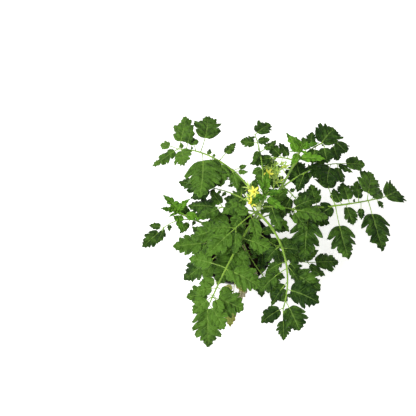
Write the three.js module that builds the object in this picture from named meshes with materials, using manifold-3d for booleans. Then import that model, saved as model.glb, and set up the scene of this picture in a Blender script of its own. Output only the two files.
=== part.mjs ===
// A bushy tomato plant in a round black plastic nursery pot, in millimetres, +Z up.
// The origin is the centre of the pot's flat underside. Seen from above, +X is right and +Y is away.
// Every compound leaf, shoot tip, flower truss and bloom is one solid of its own, and a
// leaflet that would cut through another one is tilted by a rule until it is clear.

import * as THREE from "three";
import { mergeVertices } from "three/addons/utils/BufferGeometryUtils.js";
import Module from "manifold-3d";

const wasm = await Module();
wasm.setup();
const { Manifold, Mesh: SolidMesh } = wasm;

// ---------------------------------------------------------------- driving dimensions

const POT = {
  height: 205, // underside to the top of the lip
  rimRadius: 120,
  baseRadius: 86,
  band: 26, // height of the wider band at the top
  bandStep: 6, // how much wider the lip is than the tapered wall below the band
  lip: 3, // how far the lip stands out of the band
  wall: 2.2,
  floor: 2.6,
  sides: 24,
};
const DRAIN = { count: 6, radius: 7, circle: 58, sides: 8 };
const SOIL = { top: 172, mound: 8, lump: 2.2, rings: 3 };
const GAP = 0.3; // between a piece and what carries it
const CLEAR = 2.2; // free air kept round a blade
const ROOT_ROOM = 7; // stretch of a leaflet's stalk, from its root, that may touch its neighbours
const BLADE = 0.9; // leaf thickness, thicker than life so that it stays a sound solid
const STEPS = 24; // steps of a curved axis

// How a leaflet leaves its frond, in degrees.
const LEAFLET = {
  perk: 6, // up, out of the rachis's own slope
  hang: 24, // down, on the way to its tip
  curl: 14, // round, towards the frond's own tip
  fold: 13, // each half of the blade, up out of flat
  level: 0.8, // share of the rachis's slope that the blade is rolled back by
  endSlope: 0.6, // share of the rachis's slope that the end leaflet keeps
};
// By how much each of these varies from leaflet to leaflet, either way.
const VARY = { turn: 7, rise: 8, hang: 12, curl: 10, width: 0.1, roll: 10, fold: 6, place: 0.025 };
// Leaflets in pairs, from the first pair to the last: place on the rachis and spread from it.
const PAIRS = {
  place: [0.34, 0.88],
  spread: [66, 48],
  length: 0.82, // each leaflet, as a share of the frond's size
  endLength: 1.25,
  stalk: 12,
  endStalk: 6,
};
// Leaves at a shoot's tip, from the lowest to the highest: length as a share, and rise.
const YOUNG = { length: [1.15, 0.7], rise: [22, 66], stalk: 12, hang: 46, fold: 16, above: 5 };

// ---------------------------------------------------------------- curved axes

const { degToRad: rad, lerp } = THREE.MathUtils;
const fraction = (x) => x - Math.floor(x);
// A repeatable number from 0 to 1 for a whole-number seed.
const draw = (seed) => fraction(Math.sin(seed * 12.9898) * 43758.5453);
// The same, from -1 to 1.
const swing = (seed) => 2 * draw(seed) - 1;

// A stem, leaf stalk or midrib: it leaves start at a heading (degrees from +X, seen from above) and
// a rise above the horizontal, loses droop degrees of rise on its way and turns by sway degrees.
function axis(start, heading, rise, droop, sway, length) {
  const points = [start.clone()];
  const aim = (s) => {
    const h = rad(heading + sway * s);
    const p = rad(rise - droop * s);
    return new THREE.Vector3(
      Math.cos(p) * Math.cos(h),
      Math.cos(p) * Math.sin(h),
      Math.sin(p),
    );
  };
  for (let i = 0; i < STEPS; i++) {
    const step = aim((i + 0.5) / STEPS).multiplyScalar(length / STEPS);
    points.push(points[i].clone().add(step));
  }
  const at = (s) => {
    const x = Math.max(0, Math.min(0.999999, s)) * STEPS;
    const i = Math.floor(x);
    return points[i].clone().lerp(points[i + 1], x - i);
  };
  return { at, aim, length, heading, rise, droop, sway };
}

// Forward, left and up of an axis at s, turned by roll degrees about forward.
function frameAt(line, s, roll = 0) {
  const h = rad(line.heading + line.sway * s);
  const forward = line.aim(s);
  const level = new THREE.Vector3(-Math.sin(h), Math.cos(h), 0);
  const rise = forward.clone().cross(level);
  const c = Math.cos(rad(roll));
  const d = Math.sin(rad(roll));
  const left = level.clone().multiplyScalar(c).addScaledVector(rise, d);
  const up = rise.clone().multiplyScalar(c).addScaledVector(level, -d);
  return { forward, left, up };
}

// ---------------------------------------------------------------- solids

function solidFrom(vertices, triangles) {
  const vertProperties = new Float32Array(vertices.flatMap((v) => [v.x, v.y, v.z]));
  const triVerts = new Uint32Array(triangles.flat());
  return new Manifold(new SolidMesh({ numProp: 3, vertProperties, triVerts }));
}

// A closed tapered tube along an axis from s0 to s1, each radius a function of s. With an even
// number of sides, a flat side faces left and one right, where leaflets root.
function tube(line, s0, s1, radiusAt, sides, rings) {
  const vertices = [];
  const triangles = [];
  for (let i = 0; i <= rings; i++) {
    const s = s0 + ((s1 - s0) * i) / rings;
    const { left, up } = frameAt(line, s);
    const centre = line.at(s);
    for (let k = 0; k < sides; k++) {
      const a = (2 * Math.PI * (k + 0.5)) / sides;
      vertices.push(
        centre
          .clone()
          .addScaledVector(left, radiusAt(s) * Math.cos(a))
          .addScaledVector(up, radiusAt(s) * Math.sin(a)),
      );
    }
  }
  for (let i = 0; i < rings; i++)
    for (let k = 0; k < sides; k++) {
      const a = i * sides + k;
      const b = i * sides + ((k + 1) % sides);
      triangles.push([a, b, b + sides], [a, b + sides, a + sides]);
    }
  const last = rings * sides;
  for (let k = 1; k < sides - 1; k++)
    triangles.push([0, k + 1, k], [last, last + k, last + k + 1]);
  return solidFrom(vertices, triangles);
}

// Lobed outlines of a leaflet. Each lobe is [where its vein leaves the midrib, how far it reaches],
// each notch the same, as shares of the blade's length.
const OUTLINES = {
  small: { lobes: [[0.16, 0.38]], notches: [] },
  oval: { lobes: [[0.06, 0.33], [0.36, 0.33]], notches: [[0.22, 0.24]] },
  side: { lobes: [[0.03, 0.37], [0.27, 0.39], [0.53, 0.27]], notches: [[0.16, 0.2], [0.41, 0.2]] },
  cut: { lobes: [[0.02, 0.44], [0.28, 0.38], [0.54, 0.26]], notches: [[0.15, 0.1], [0.42, 0.18]] },
  end: {
    lobes: [[0, 0.42], [0.2, 0.45], [0.41, 0.36], [0.63, 0.23]],
    notches: [[0.12, 0.18], [0.32, 0.21], [0.54, 0.15]],
  },
  young: { lobes: [[0.1, 0.3], [0.42, 0.26]], notches: [[0.34, 0.08]] },
};
const PLAIN_UNDER = 60; // a leaflet shorter than this, in millimetres, has fewer lobes:
const PLAINER = { side: "oval", oval: "small" }; // the outline it gets in place of its own
const VEIN_SLANT = 36; // degrees by which side veins lean towards the leaflet's tip
const STALK = { half: 1.1, thick: 2.0 }; // a leaflet's stalk, a flat bar that widens into the blade

// A point of a leaflet: t along the blade from its foot, negative down its stalk, and reach to the
// side (+ left) in millimetres.
function leafPoint(leaf, t, reach, height) {
  const s = leaf.bladeStart + (1 - leaf.bladeStart) * t;
  const { forward, left, up } = frameAt(leaf.line, s, leaf.roll);
  const out = t < 0 ? 0 : Math.abs(reach) - STALK.half;
  const across = out > 0 ? Math.sign(reach) * (STALK.half + out * Math.cos(rad(VEIN_SLANT))) : reach;
  return leaf.line
    .at(s)
    .addScaledVector(forward, Math.max(0, out) * Math.sin(rad(VEIN_SLANT)))
    .addScaledVector(left, across * Math.cos(rad(leaf.fold)))
    .addScaledVector(up, Math.abs(across) * Math.sin(rad(leaf.fold)) + height);
}

// A leaflet and its stalk as one thin folded plate: two points at the blade's foot, two at the root
// straight back from them, so that the stalk is a plain bar, then the midrib, and lobes and notches
// in turn up both edges. Both faces are split alike.
function leafletSolid(leaf, thickness, stalkThickness, skip = 0) {
  const { lobes, notches } = OUTLINES[leaf.outline];
  const size = leaf.bladeLength * leaf.width;
  const rootAt = -Math.max(1, leaf.stalk - skip) / leaf.bladeLength;
  const tops = [];
  const bottoms = [];
  const put = (t, reach, thick) => {
    tops.push(leafPoint(leaf, t, reach, thick / 2));
    bottoms.push(leafPoint(leaf, t, reach, -thick / 2));
    return tops.length - 1;
  };
  const feet = [1, -1].map((side) => put(0, side * STALK.half, stalkThickness));
  const back = leafPoint(leaf, rootAt, 0, 0).sub(leafPoint(leaf, 0, 0, 0));
  const roots = feet.map((foot) => {
    tops.push(tops[foot].clone().add(back));
    bottoms.push(bottoms[foot].clone().add(back));
    return tops.length - 1;
  });
  const ribs = [...notches.map(([t]) => t), 1].map((t) => put(t, 0, thickness));
  const edges = [1, -1].map((side) =>
    lobes.flatMap((lobe, i) =>
      [lobe, ...notches.slice(i, i + 1)].map(([t, reach]) => put(t, side * reach * size, thickness)),
    ),
  );
  const faces = [
    [roots[0], roots[1], feet[1]],
    [roots[0], feet[1], feet[0]],
    [feet[0], feet[1], ribs[0]],
  ];
  edges.forEach((edge, k) => {
    const add = (a, b, c) => faces.push(k ? [a, b, c] : [a, c, b]);
    lobes.forEach((_, i) => {
      const inner = i ? ribs[i - 1] : feet[k];
      if (i) add(inner, edge[2 * i - 1], edge[2 * i]);
      add(inner, edge[2 * i], ribs[i]);
      if (i < notches.length) add(edge[2 * i], edge[2 * i + 1], ribs[i]);
    });
  });
  const n = tops.length;
  const tip = ribs[ribs.length - 1];
  const rim = [roots[0], roots[1], feet[1], ...edges[1], tip, ...edges[0].toReversed(), feet[0]];
  const walls = rim.flatMap((a, i) => {
    const b = rim[(i + 1) % rim.length];
    return [[n + a, n + b, b], [n + a, b, a]];
  });
  const under = faces.map(([a, b, c]) => [n + a, n + c, n + b]);
  return solidFrom([...tops, ...bottoms], [...faces, ...under, ...walls]);
}

// ---------------------------------------------------------------- the compound leaf

// Leaflets of a frond: [place on the rachis, side (+1 left, -1 right, 0 the tip), length, spread
// from the rachis, stalk, outline]. Where a frond lists none, pairs of them follow this rule.
function pairedLeaflets(frond) {
  const rows = [[1, 0, frond.size * PAIRS.endLength, 0, PAIRS.endStalk, "side"]];
  for (let i = 0; i < frond.pairs; i++) {
    const share = i / (frond.pairs - 1);
    for (const side of [1, -1]) {
      const seed = frond.seed + 10 * i + side;
      const at = lerp(...PAIRS.place, share) + VARY.place * swing(seed);
      const length = frond.size * PAIRS.length * (1 + VARY.width * swing(seed + 3));
      rows.push([at, side, length, lerp(...PAIRS.spread, share), PAIRS.stalk, "oval"]);
    }
  }
  return rows;
}

const LIFTS = [0, 10, -10, 20, -20, 32, -32, 46, -46, 62, -62];
const STEEPEST = 84; // degrees of rise or fall at which a leaflet may start

// One leaflet of a frond, tilted by lift degrees out of its own pose.
function leafletOf(frond, rachis, row, index, lift) {
  const [at, side, length, spread, stalk, outline, width = 1] = row;
  const seed = frond.seed * 7 + index * 13;
  const pitch = rachis.rise - rachis.droop * at;
  const turn = side ? side * (spread + VARY.turn * swing(seed)) : spread;
  const slope = side ? pitch : pitch * LEAFLET.endSlope;
  const rise = slope * Math.cos(rad(turn)) + LEAFLET.perk + VARY.rise * swing(seed + 1) + lift;
  const hang = LEAFLET.hang * (side ? 1 : LEAFLET.level) + VARY.hang * swing(seed + 2);
  const whole = stalk + length;
  const line = axis(
    rachis.at(at),
    rachis.heading + rachis.sway * at + turn,
    Math.max(-STEEPEST, Math.min(STEEPEST, rise)),
    hang,
    -side * LEAFLET.curl + VARY.curl * swing(seed + 4),
    whole,
  );
  return {
    line,
    outline: length < PLAIN_UNDER ? (PLAINER[outline] ?? outline) : outline,
    stalk,
    bladeLength: length,
    bladeStart: stalk / whole,
    width: width * (1 + VARY.width * swing(seed + 5)),
    roll: -pitch * Math.sin(rad(turn)) * LEAFLET.level + VARY.roll * swing(seed + 6),
    fold: LEAFLET.fold + VARY.fold * swing(seed + 7),
  };
}

const placed = []; // every solid that a blade has to stay clear of

function crosses(solid, others) {
  const box = solid.boundingBox();
  return others.some((other) => {
    for (let k = 0; k < 3; k++)
      if (box.min[k] > other.box.max[k] || box.max[k] < other.box.min[k]) return false;
    return other.solid.intersect(solid).volume() > 0.01;
  });
}

const occupy = (solid) => placed.push({ solid, box: solid.boundingBox() });

// The leaflets of a frond that find a clear pose, each with its blade and its short stalk.
function leafletsOf(frond, rachis) {
  const rows = frond.leaflets ?? pairedLeaflets(frond);
  const kept = [];
  const near = [];
  rows.forEach((row, index) => {
    for (const lift of LIFTS) {
      const leaf = leafletOf(frond, rachis, row, index, lift);
      const fat = leafletSolid(leaf, 2 * CLEAR, 2 * CLEAR, ROOT_ROOM);
      if (crosses(fat, placed) || crosses(fat, near)) continue;
      near.push({ solid: fat, box: fat.boundingBox() });
      kept.push(leaf);
      break;
    }
  });
  return kept;
}

const rachisOf = (frond, start) =>
  axis(start, frond.heading, frond.rise, frond.droop, frond.sway, frond.length);

const rachisRadius = (frond) => (s) => frond.thick * (1 - 0.55 * s) + 0.9 * Math.exp(-12 * s);

const rachisTube = (frond, rachis, grow = 0) =>
  tube(
    rachis, 0, 1, (s) => rachisRadius(frond)(s) + grow,
    frond.thick > 2.5 ? 6 : 4, Math.ceil(frond.length / 42),
  );

// ---------------------------------------------------------------- stems

// Each stem: an axis, its radius at the foot and at the top, and where its tip piece takes over.
const FOOT = new THREE.Vector3(0, 0, SOIL.top - 7);
const mainAxis = axis(FOOT, 15, 77, -11, 30, 435);
const STEMS = {
  main: { line: mainAxis, foot: 6.5, top: 2.6, tipFrom: 0.94, sides: 8, rings: 8 },
  right: {
    line: axis(mainAxis.at(0.45), 31, 60, 9, 36, 300),
    foot: 4.4,
    top: 2.2,
    tipFrom: 0.88,
    sides: 7,
    rings: 7,
  },
  left: {
    line: axis(mainAxis.at(0.15), 166, 50, 5, 11, 286),
    foot: 4.2,
    top: 2,
    tipFrom: 0.86,
    sides: 7,
    rings: 7,
  },
};
const stemRadius = (stem, grow) => (s) => stem.foot + (stem.top - stem.foot) * s + grow;

// All stems up to where their tip pieces take over, or with those stretches too, grown by a margin.
function stemSolid(withTips, grow) {
  const pieces = Object.values(STEMS).map((stem) =>
    tube(stem.line, 0, withTips ? 1 : stem.tipFrom, stemRadius(stem, grow), stem.sides, stem.rings),
  );
  return Manifold.union(pieces);
}

// ---------------------------------------------------------------- the leaves of this plant

// Angles in degrees, lengths in millimetres. on: the stem and the share of its length where the
// leaf grows. thick: the rachis's radius at its root. size: the length of its leaflets, where it
// has them in pairs.
const FRONDS = [
  {
    name: "leaf_upper_left", on: ["main", 0.82], heading: 124, rise: 29, droop: 64, sway: 37,
    length: 289, thick: 2.9, seed: 11,
    leaflets: [
      [1, 0, 75, 50, 10, "end", 0.8],
      [0.74, -1, 90, 75, 47, "side", 1.1],
      [0.99, -1, 100, 90, 24, "side", 0.85],
      [0.9, -1, 55, 85, 17, "oval", 0.7],
      [0.79, -1, 50, 55, 26, "oval", 0.9],
      [0.96, 1, 60, 120, 9, "side", 1.2],
      [0.72, 1, 110, 120, 29, "cut", 1.1],
      [0.61, 1, 75, 125, 6, "side", 0.9],
      [0.54, -1, 45, 95, 28, "side", 0.75],
      [0.52, 1, 60, 130, 9, "side", 0.9],
      [0.39, -1, 20, 115, 19, "oval"],
      [1, -1, 45, 20, 36, "oval"],
      [0.4, 1, 45, 155, 8, "side"],
      [0.38, -1, 25, 145, 13, "oval", 0.9],
    ],
  },
  {
    name: "leaf_back", on: ["main", 0.91], heading: 91, rise: 44, droop: 68, sway: 10,
    length: 174, thick: 2.1, seed: 23,
    leaflets: [
      [1, 0, 55, -55, 9, "side", 1.2],
      [0.87, -1, 30, 105, 3, "side", 1.2],
      [0.83, 1, 35, 80, 9, "side", 1.4],
      [0.67, -1, 45, 65, 16, "oval", 0.8],
      [0.76, 1, 40, 160, 15, "oval", 0.7],
      [0.57, 1, 15, 130, 3, "oval", 1.2],
      [0.43, 1, 25, 120, 3, "side", 1.3],
    ],
  },
  {
    name: "leaf_back_right", on: ["right", 0.8], heading: 45, rise: 46, droop: 63, sway: -26,
    length: 130, thick: 2.3, seed: 37,
    leaflets: [
      [1, 0, 35, -75, 12, "side", 1.7],
      [0.72, 1, 60, 30, 3, "side", 1.7],
      [0.86, 1, 45, 5, 8, "side", 1.4],
      [0.47, 1, 30, 55, 17, "side", 1.3],
      [0.38, 1, 30, 60, 18, "oval", 1.2],
      [0.61, -1, 35, 140, 10, "side", 1.6],
      [0.77, -1, 40, 110, 16, "side", 1.5],
      [0.93, -1, 40, 85, 17, "side", 1.4],
      [0.35, 1, 30, 110, 14, "small", 1.3],
    ],
  },
  {
    name: "leaf_right_upper", on: ["right", 0.55], heading: 36, rise: 29, droop: 51, sway: -22,
    length: 177, thick: 2.2, seed: 41,
    leaflets: [
      [1, 0, 45, -40, 6, "oval", 0.7],
      [0.73, 1, 40, 85, 5, "oval", 1.2],
      [0.91, -1, 65, 15, 39, "oval"],
      [0.75, -1, 45, 155, 3, "side", 1.5],
      [0.89, -1, 70, 130, 18, "cut", 1.3],
      [1, -1, 45, 100, 14, "side", 1.2],
      [0.57, -1, 20, 140, 6, "small"],
      [0.44, -1, 45, 135, 9, "oval", 1.2],
    ],
  },
  {
    name: "leaf_right", on: ["right", 0.28], heading: -9, rise: 28, droop: 64, sway: 35,
    length: 371, thick: 3.1, seed: 53,
    leaflets: [
      [1, 0, 55, 0, 3, "side", 2.1],
      [0.33, 1, 75, 110, 69, "side", 1.3],
      [0.33, -1, 105, 110, 40, "cut"],
      [0.51, 1, 75, 100, 53, "cut", 1.3],
      [0.5, -1, 60, 160, 7, "side", 1.2],
      [0.59, -1, 50, 90, 10, "side", 1.3],
      [0.51, -1, 90, 105, 58, "cut", 1.05],
      [0.62, 1, 55, 90, 13, "side", 1.4],
      [0.7, 1, 60, 70, 12, "side", 0.9],
      [0.78, 1, 80, 60, 23, "side", 1.4],
      [0.79, -1, 105, 105, 42, "cut"],
      [0.88, -1, 25, 75, 8, "small", 1.5],
      [0.82, 1, 85, 25, 20, "oval", 0.9],
      [0.38, 1, 55, 105, 12, "side", 1.1],
      [0.72, -1, 30, 115, 20, "oval", 1.1],
      [0.56, 1, 45, 100, 10, "side"],
    ],
  },
  {
    name: "leaf_front_right", on: ["main", 0.7], heading: -48, rise: 22, droop: 49, sway: -59,
    length: 272, thick: 3.3, seed: 67,
    leaflets: [
      [1, 0, 50, 15, 29, "end", 0.9],
      [0.34, 1, 30, 45, 10, "oval", 1.2],
      [0.44, 1, 30, 70, 12, "oval", 1.4],
      [0.55, 1, 40, 35, 15, "side", 1.2],
      [0.66, 1, 70, 60, 23, "side", 1.3],
      [0.82, 1, 75, 75, 10, "side", 1.4],
      [0.92, 1, 60, 40, 19, "side", 1.4],
      [0.99, -1, 60, 45, 11, "oval", 1.1],
      [0.75, -1, 50, 45, 24, "side", 0.75],
      [0.63, -1, 55, 60, 35, "side", 1.1],
      [0.41, -1, 45, 75, 17, "side"],
      [0.22, 1, 30, 50, 10, "oval", 1.2],
      [0.57, -1, 35, 85, 22, "side", 1.1],
      [0.59, 1, 35, 30, 20, "side"],
    ],
  },
  {
    name: "leaf_front", on: ["main", 0.62], heading: -121, rise: 24, droop: 44, sway: 6,
    length: 278, thick: 3.3, seed: 71,
    leaflets: [
      [1, 0, 100, 25, 3, "end"],
      [0.3, -1, 75, 85, 30, "side"],
      [0.28, 1, 70, 100, 23, "side"],
      [0.61, -1, 60, 85, 40, "side", 1.2],
      [0.62, 1, 80, 100, 21, "side", 1.3],
      [0.88, -1, 60, 75, 15, "side", 1.1],
      [0.9, 1, 70, 100, 16, "side", 1.4],
      [0.61, 1, 30, 55, 8, "oval", 1.2],
      [0.8, 1, 45, 90, 12, "oval", 1.3],
      [0.75, -1, 40, 70, 13, "side", 1.2],
      [0.44, 1, 30, 105, 11, "oval", 1.2],
      [0.42, -1, 40, 70, 14, "oval", 1.2],
      [0.97, 1, 60, 65, 13, "side", 1.1],
      [0.87, 1, 40, 50, 20, "oval", 1.2],
      [0.67, 1, 35, 100, 10, "oval", 1.2],
      [0.81, -1, 40, 65, 13, "side", 1.3],
      [0.89, -1, 50, 25, 17, "side", 1.1],
      [0.89, 1, 55, 65, 24, "side"],
    ],
  },
  {
    name: "leaf_left", on: ["main", 0.42], heading: -146, rise: 34, droop: 59, sway: -30,
    length: 144, thick: 2.2, size: 70, pairs: 2, seed: 83,
  },
  {
    name: "leaf_left_upper", on: ["main", 0.76], heading: 150, rise: 27, droop: 61, sway: 9,
    length: 155, thick: 2.2, size: 64, pairs: 2, seed: 97,
  },
  {
    name: "leaf_inner_front", on: ["right", 0.12], heading: 26, rise: 20, droop: 53, sway: -35,
    length: 143, thick: 2.2, size: 66, pairs: 2, seed: 151,
  },
  {
    name: "leaf_inner_right", on: ["main", 0.5], heading: -60, rise: 23, droop: 47, sway: 38,
    length: 108, thick: 2.1, size: 66, pairs: 2, seed: 103,
  },
  {
    name: "leaf_low_right", on: ["main", 0.26], heading: -47, rise: 21, droop: 38, sway: 52,
    length: 231, thick: 2.4, size: 66, pairs: 2, seed: 113,
  },
  {
    name: "leaf_low_front", on: ["main", 0.22], heading: -80, rise: 37, droop: 41, sway: 30,
    length: 155, thick: 2.3, size: 66, pairs: 2, seed: 157,
  },
  {
    name: "leaf_low_left", on: ["main", 0.3], heading: -137, rise: 27, droop: 49, sway: -12,
    length: 141, thick: 2.1, size: 74, pairs: 2, seed: 163,
  },
  {
    name: "leaf_inner_left", on: ["main", 0.66], heading: 121, rise: 43, droop: 66, sway: 15,
    length: 140, thick: 2.1, size: 64, pairs: 2, seed: 167,
  },
  {
    name: "leaf_inner_back", on: ["main", 0.56], heading: 50, rise: 50, droop: 51, sway: 30,
    length: 115, thick: 2.1, size: 66, pairs: 2, seed: 173,
  },
  {
    name: "leaf_shoot_left", on: ["left", 0.55], heading: 155, rise: 30, droop: 64, sway: 65,
    length: 150, thick: 2.1, size: 52, pairs: 2, seed: 181,
  },
  {
    name: "leaf_centre", on: ["main", 0.47], heading: -120, rise: 45, droop: 50, sway: 0,
    length: 100, thick: 2.1, size: 80, pairs: 2, seed: 191,
  },
  {
    name: "leaf_mid_right", on: ["main", 0.79], heading: -8, rise: 36, droop: 58, sway: 0,
    length: 96, thick: 2.2, size: 66, pairs: 2, seed: 211,
  },
  {
    name: "leaf_mid_front", on: ["main", 0.74], heading: -139, rise: 37, droop: 56, sway: 0,
    length: 98, thick: 2.1, size: 70, pairs: 2, seed: 223,
  },
  {
    name: "leaf_mid_left", on: ["main", 0.71], heading: 182, rise: 36, droop: 58, sway: -14,
    length: 112, thick: 2.1, size: 64, pairs: 2, seed: 227,
  },
  {
    name: "leaf_centre_left", on: ["main", 0.52], heading: -165, rise: 45, droop: 50, sway: 0,
    length: 80, thick: 2.1, size: 78, pairs: 2, seed: 197,
  },
  {
    name: "leaf_crown", on: ["right", 0.86], heading: 168, rise: 34, droop: 58, sway: 8,
    length: 60, thick: 1.9, seed: 229,
    leaflets: [
      [1, 0, 55, 10, 4, "side", 0.9],
      [0.6, -1, 45, 40, 8, "side"],
      [0.35, -1, 45, 70, 8, "oval", 0.9],
    ],
  },
  {
    name: "leaf_crown_low", on: ["right", 0.6], heading: -45, rise: 20, droop: 60, sway: 0,
    length: 60, thick: 2, seed: 233,
    leaflets: [
      [1, 0, 60, 0, 6, "side"],
      [0.6, -1, 60, 70, 12, "side"],
      [0.75, 1, 55, 65, 12, "side", 0.9],
    ],
  },
  {
    name: "leaf_old", look: "oldLeaf",
    on: ["main", 0.12], heading: -97, rise: 34, droop: 47, sway: -2,
    length: 212, thick: 1.9, seed: 131,
    leaflets: [
      [1, 0, 50, 0, 6, "oval"],
      [0.65, 1, 35, 60, 8, "oval"],
      [0.7, -1, 35, 60, 8, "oval"],
    ],
  },
  {
    name: "leaf_withered", look: "dryLeaf",
    on: ["main", 0.16], heading: -60, rise: 34, droop: 61, sway: -49,
    length: 144, thick: 1.7, seed: 139,
    leaflets: [
      [1, 0, 50, 0, 6, "oval"],
      [0.65, 1, 35, 60, 8, "oval"],
    ],
  },
];

// ---------------------------------------------------------------- shoot tips

// The top of each stem with its youngest leaves, each cut to the rib in one thin blade.
const SHOOTS = [
  { name: "shoot_tip_main", on: "main", leaves: 5, length: 46, seed: 307 },
  { name: "shoot_tip_right", on: "right", leaves: 5, length: 54, seed: 331 },
  { name: "shoot_tip_left", on: "left", leaves: 5, length: 56, seed: 353 },
];
const LEAF_TURN = 137.5; // degrees round the stem from one leaf to the next
const HIGHEST = 0.985; // share of the stem's length at which its last leaf grows

function youngLeafOf(shoot, stem, index, lift) {
  const share = index / (shoot.leaves - 1);
  const lowest = stem.tipFrom + YOUNG.above / stem.line.length;
  const seed = shoot.seed + 17 * index;
  const { stalk } = YOUNG;
  const length = shoot.length * lerp(...YOUNG.length, share) * (1 + VARY.width * swing(seed));
  const line = axis(
    stem.line.at(lerp(lowest, HIGHEST, share)),
    shoot.seed + LEAF_TURN * index + 2 * VARY.turn * swing(seed + 1),
    Math.min(STEEPEST, lerp(...YOUNG.rise, share) + lift),
    YOUNG.hang,
    2 * VARY.curl * swing(seed + 2),
    stalk + length,
  );
  const whole = stalk + length;
  return {
    line, outline: "young", stalk, bladeLength: length, bladeStart: stalk / whole,
    width: 1, roll: VARY.roll * swing(seed + 3), fold: YOUNG.fold,
  };
}

// ---------------------------------------------------------------- trusses

// A bare stalk off a stem. Each flower is [place, kind, heading, rise, length of its own stalk].
const TRUSSES = [
  {
    name: "truss_open", on: ["main", 0.86], heading: 150, rise: 62, droop: 14, length: 46,
    flowers: [
      [1, "bloom", -105, 70, 12],
      [0.6, "bloom", -130, 24, 24],
      [0.4, "fruit", -95, 8, 18],
      [0.85, "bud", 150, 42, 17],
      [0.6, "bud", 190, 30, 18],
    ],
  },
  {
    name: "truss_budding", on: ["right", 0.42], heading: 91, rise: 64, droop: 31, length: 104,
    flowers: [
      [1, "bud", 91, 50, 14],
      [0.93, "bud", 20, 34, 17],
      [0.84, "bud", 160, 30, 18],
      [0.9, "bud", -30, 62, 28],
      [0.78, "bud", 10, 58, 34],
      [0.74, "bloom", -165, 50, 24],
      [0.63, "bud", -80, 52, 20],
      [0.52, "bud", 10, 40, 17],
      [0.42, "bud", -170, 24, 16],
    ],
  },
];
const TRUSS_RADIUS = 1.5;
const CALYX = { sepals: 5, length: 12, notch: 3, hub: 2.3, hubLength: 3, thick: 0.8, back: 20 };
const BUD = { length: 12, radius: 3.2 };
const BLOOM = { petals: 6, length: 16, notch: 4.6, thick: 0.8, forward: 10, cone: 9, coneRadius: 2.4 };
const FRUIT_RADIUS = 7;
const BLOOM_NAMES = ["bloom_top", "bloom_side", "bloom_back"];

// A flower's stalk bends up a little towards its end.
const flowerLine = (peduncle, [place, , heading, rise, length]) =>
  axis(peduncle.at(place), heading, rise - 12, -12, 0, length);

// The end of a flower's stalk, with its own forward, left and up.
const flowerSeat = (line) => ({ at: line.at(1), ...frameAt(line, 1) });

// A point at along millimetres ahead of the seat and out millimetres from its line, at turn degrees.
function seatPoint(seat, along, out, turn) {
  return seat.at
    .clone()
    .addScaledVector(seat.forward, along)
    .addScaledVector(seat.left, out * Math.cos(rad(turn)))
    .addScaledVector(seat.up, out * Math.sin(rad(turn)));
}

// A thin star about the seat's line, such as a ring of petals: its centre, the notches between its
// points and the points' tips, as [ahead, out] of the seat.
function star(seat, points, centre, notch, tip, thick) {
  const outline = [];
  for (let k = 0; k < points; k++) {
    outline.push(seatPoint(seat, ...tip, (360 * k) / points));
    outline.push(seatPoint(seat, ...notch, (360 * (k + 0.5)) / points));
  }
  outline.push(seatPoint(seat, ...centre, 0));
  const front = outline.map((v) => v.clone().addScaledVector(seat.forward, thick / 2));
  const back = outline.map((v) => v.clone().addScaledVector(seat.forward, -thick / 2));
  const n = outline.length;
  const faces = [];
  for (let a = 0; a < n - 1; a++) {
    const b = (a + 1) % (n - 1);
    faces.push([a, b, n - 1], [n + b, n + a, 2 * n - 1], [a, n + a, n + b], [a, n + b, b]);
  }
  return solidFrom([...front, ...back], faces);
}

// A round body about the seat's line, through [ahead, radius] stations.
function turned(seat, stations, sides) {
  const vertices = stations.flatMap(([along, radius]) =>
    Array.from({ length: sides }, (_, k) => seatPoint(seat, along, radius, (360 * k) / sides)),
  );
  const triangles = [];
  for (let i = 0; i < stations.length - 1; i++)
    for (let k = 0; k < sides; k++) {
      const a = i * sides + k;
      const b = i * sides + ((k + 1) % sides);
      triangles.push([a, b, b + sides], [a, b + sides, a + sides]);
    }
  const last = (stations.length - 1) * sides;
  for (let k = 1; k < sides - 1; k++)
    triangles.push([0, k + 1, k], [last, last + k, last + k + 1]);
  return solidFrom(vertices, triangles);
}

function calyx(seat) {
  const { sepals, length, notch, hub, hubLength, thick, back } = CALYX;
  const tip = [-length * Math.sin(rad(back)), length * Math.cos(rad(back))];
  const sepalRing = star(seat, sepals, [0, 0], [0, notch], tip, thick);
  return [sepalRing, turned(seat, [[-hubLength, 1], [0.6, hub]], 4)];
}

const bud = (seat) => [
  turned(
    seat,
    [[-2, 1], [BUD.length * 0.4, BUD.radius], [BUD.length, 0.6]],
    5,
  ),
];

function bloomSolid(seat) {
  const { petals, length, notch, thick, forward, cone, coneRadius } = BLOOM;
  const foot = 0.6 + GAP + thick; // just ahead of the calyx
  const tip = [foot + length * Math.sin(rad(forward)), length * Math.cos(rad(forward))];
  const petalRing = star(seat, petals, [foot, 0], [foot + 1, notch], tip, thick);
  const anthers = turned(seat, [[foot, coneRadius], [foot + cone, 0.8]], 5);
  return petalRing.add(anthers);
}

function fruitSolid(seat) {
  const ball = new THREE.IcosahedronGeometry(FRUIT_RADIUS, 1);
  const centre = seatPoint(seat, 0.6 + GAP + FRUIT_RADIUS, 0, 0);
  return solidOf(ball.translate(centre.x, centre.y, centre.z));
}

// ---------------------------------------------------------------- pot and compost

function solidOf(geometry) {
  const bare = geometry.clone();
  bare.deleteAttribute("normal");
  bare.deleteAttribute("uv");
  const merged = mergeVertices(bare, 1e-3);
  const { position } = merged.attributes;
  const corner = (i) => new THREE.Vector3().fromBufferAttribute(position, i);
  const vertices = Array.from({ length: position.count }, (_, i) => corner(i));
  const index = merged.index ? [...merged.index.array] : vertices.map((_, i) => i);
  const triangles = [];
  for (let i = 0; i < index.length; i += 3) {
    const [a, b, c] = index.slice(i, i + 3);
    if (a !== b && b !== c && c !== a) triangles.push([a, b, c]); // none on the axis is flat
  }
  return solidFrom(vertices, triangles);
}

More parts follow.
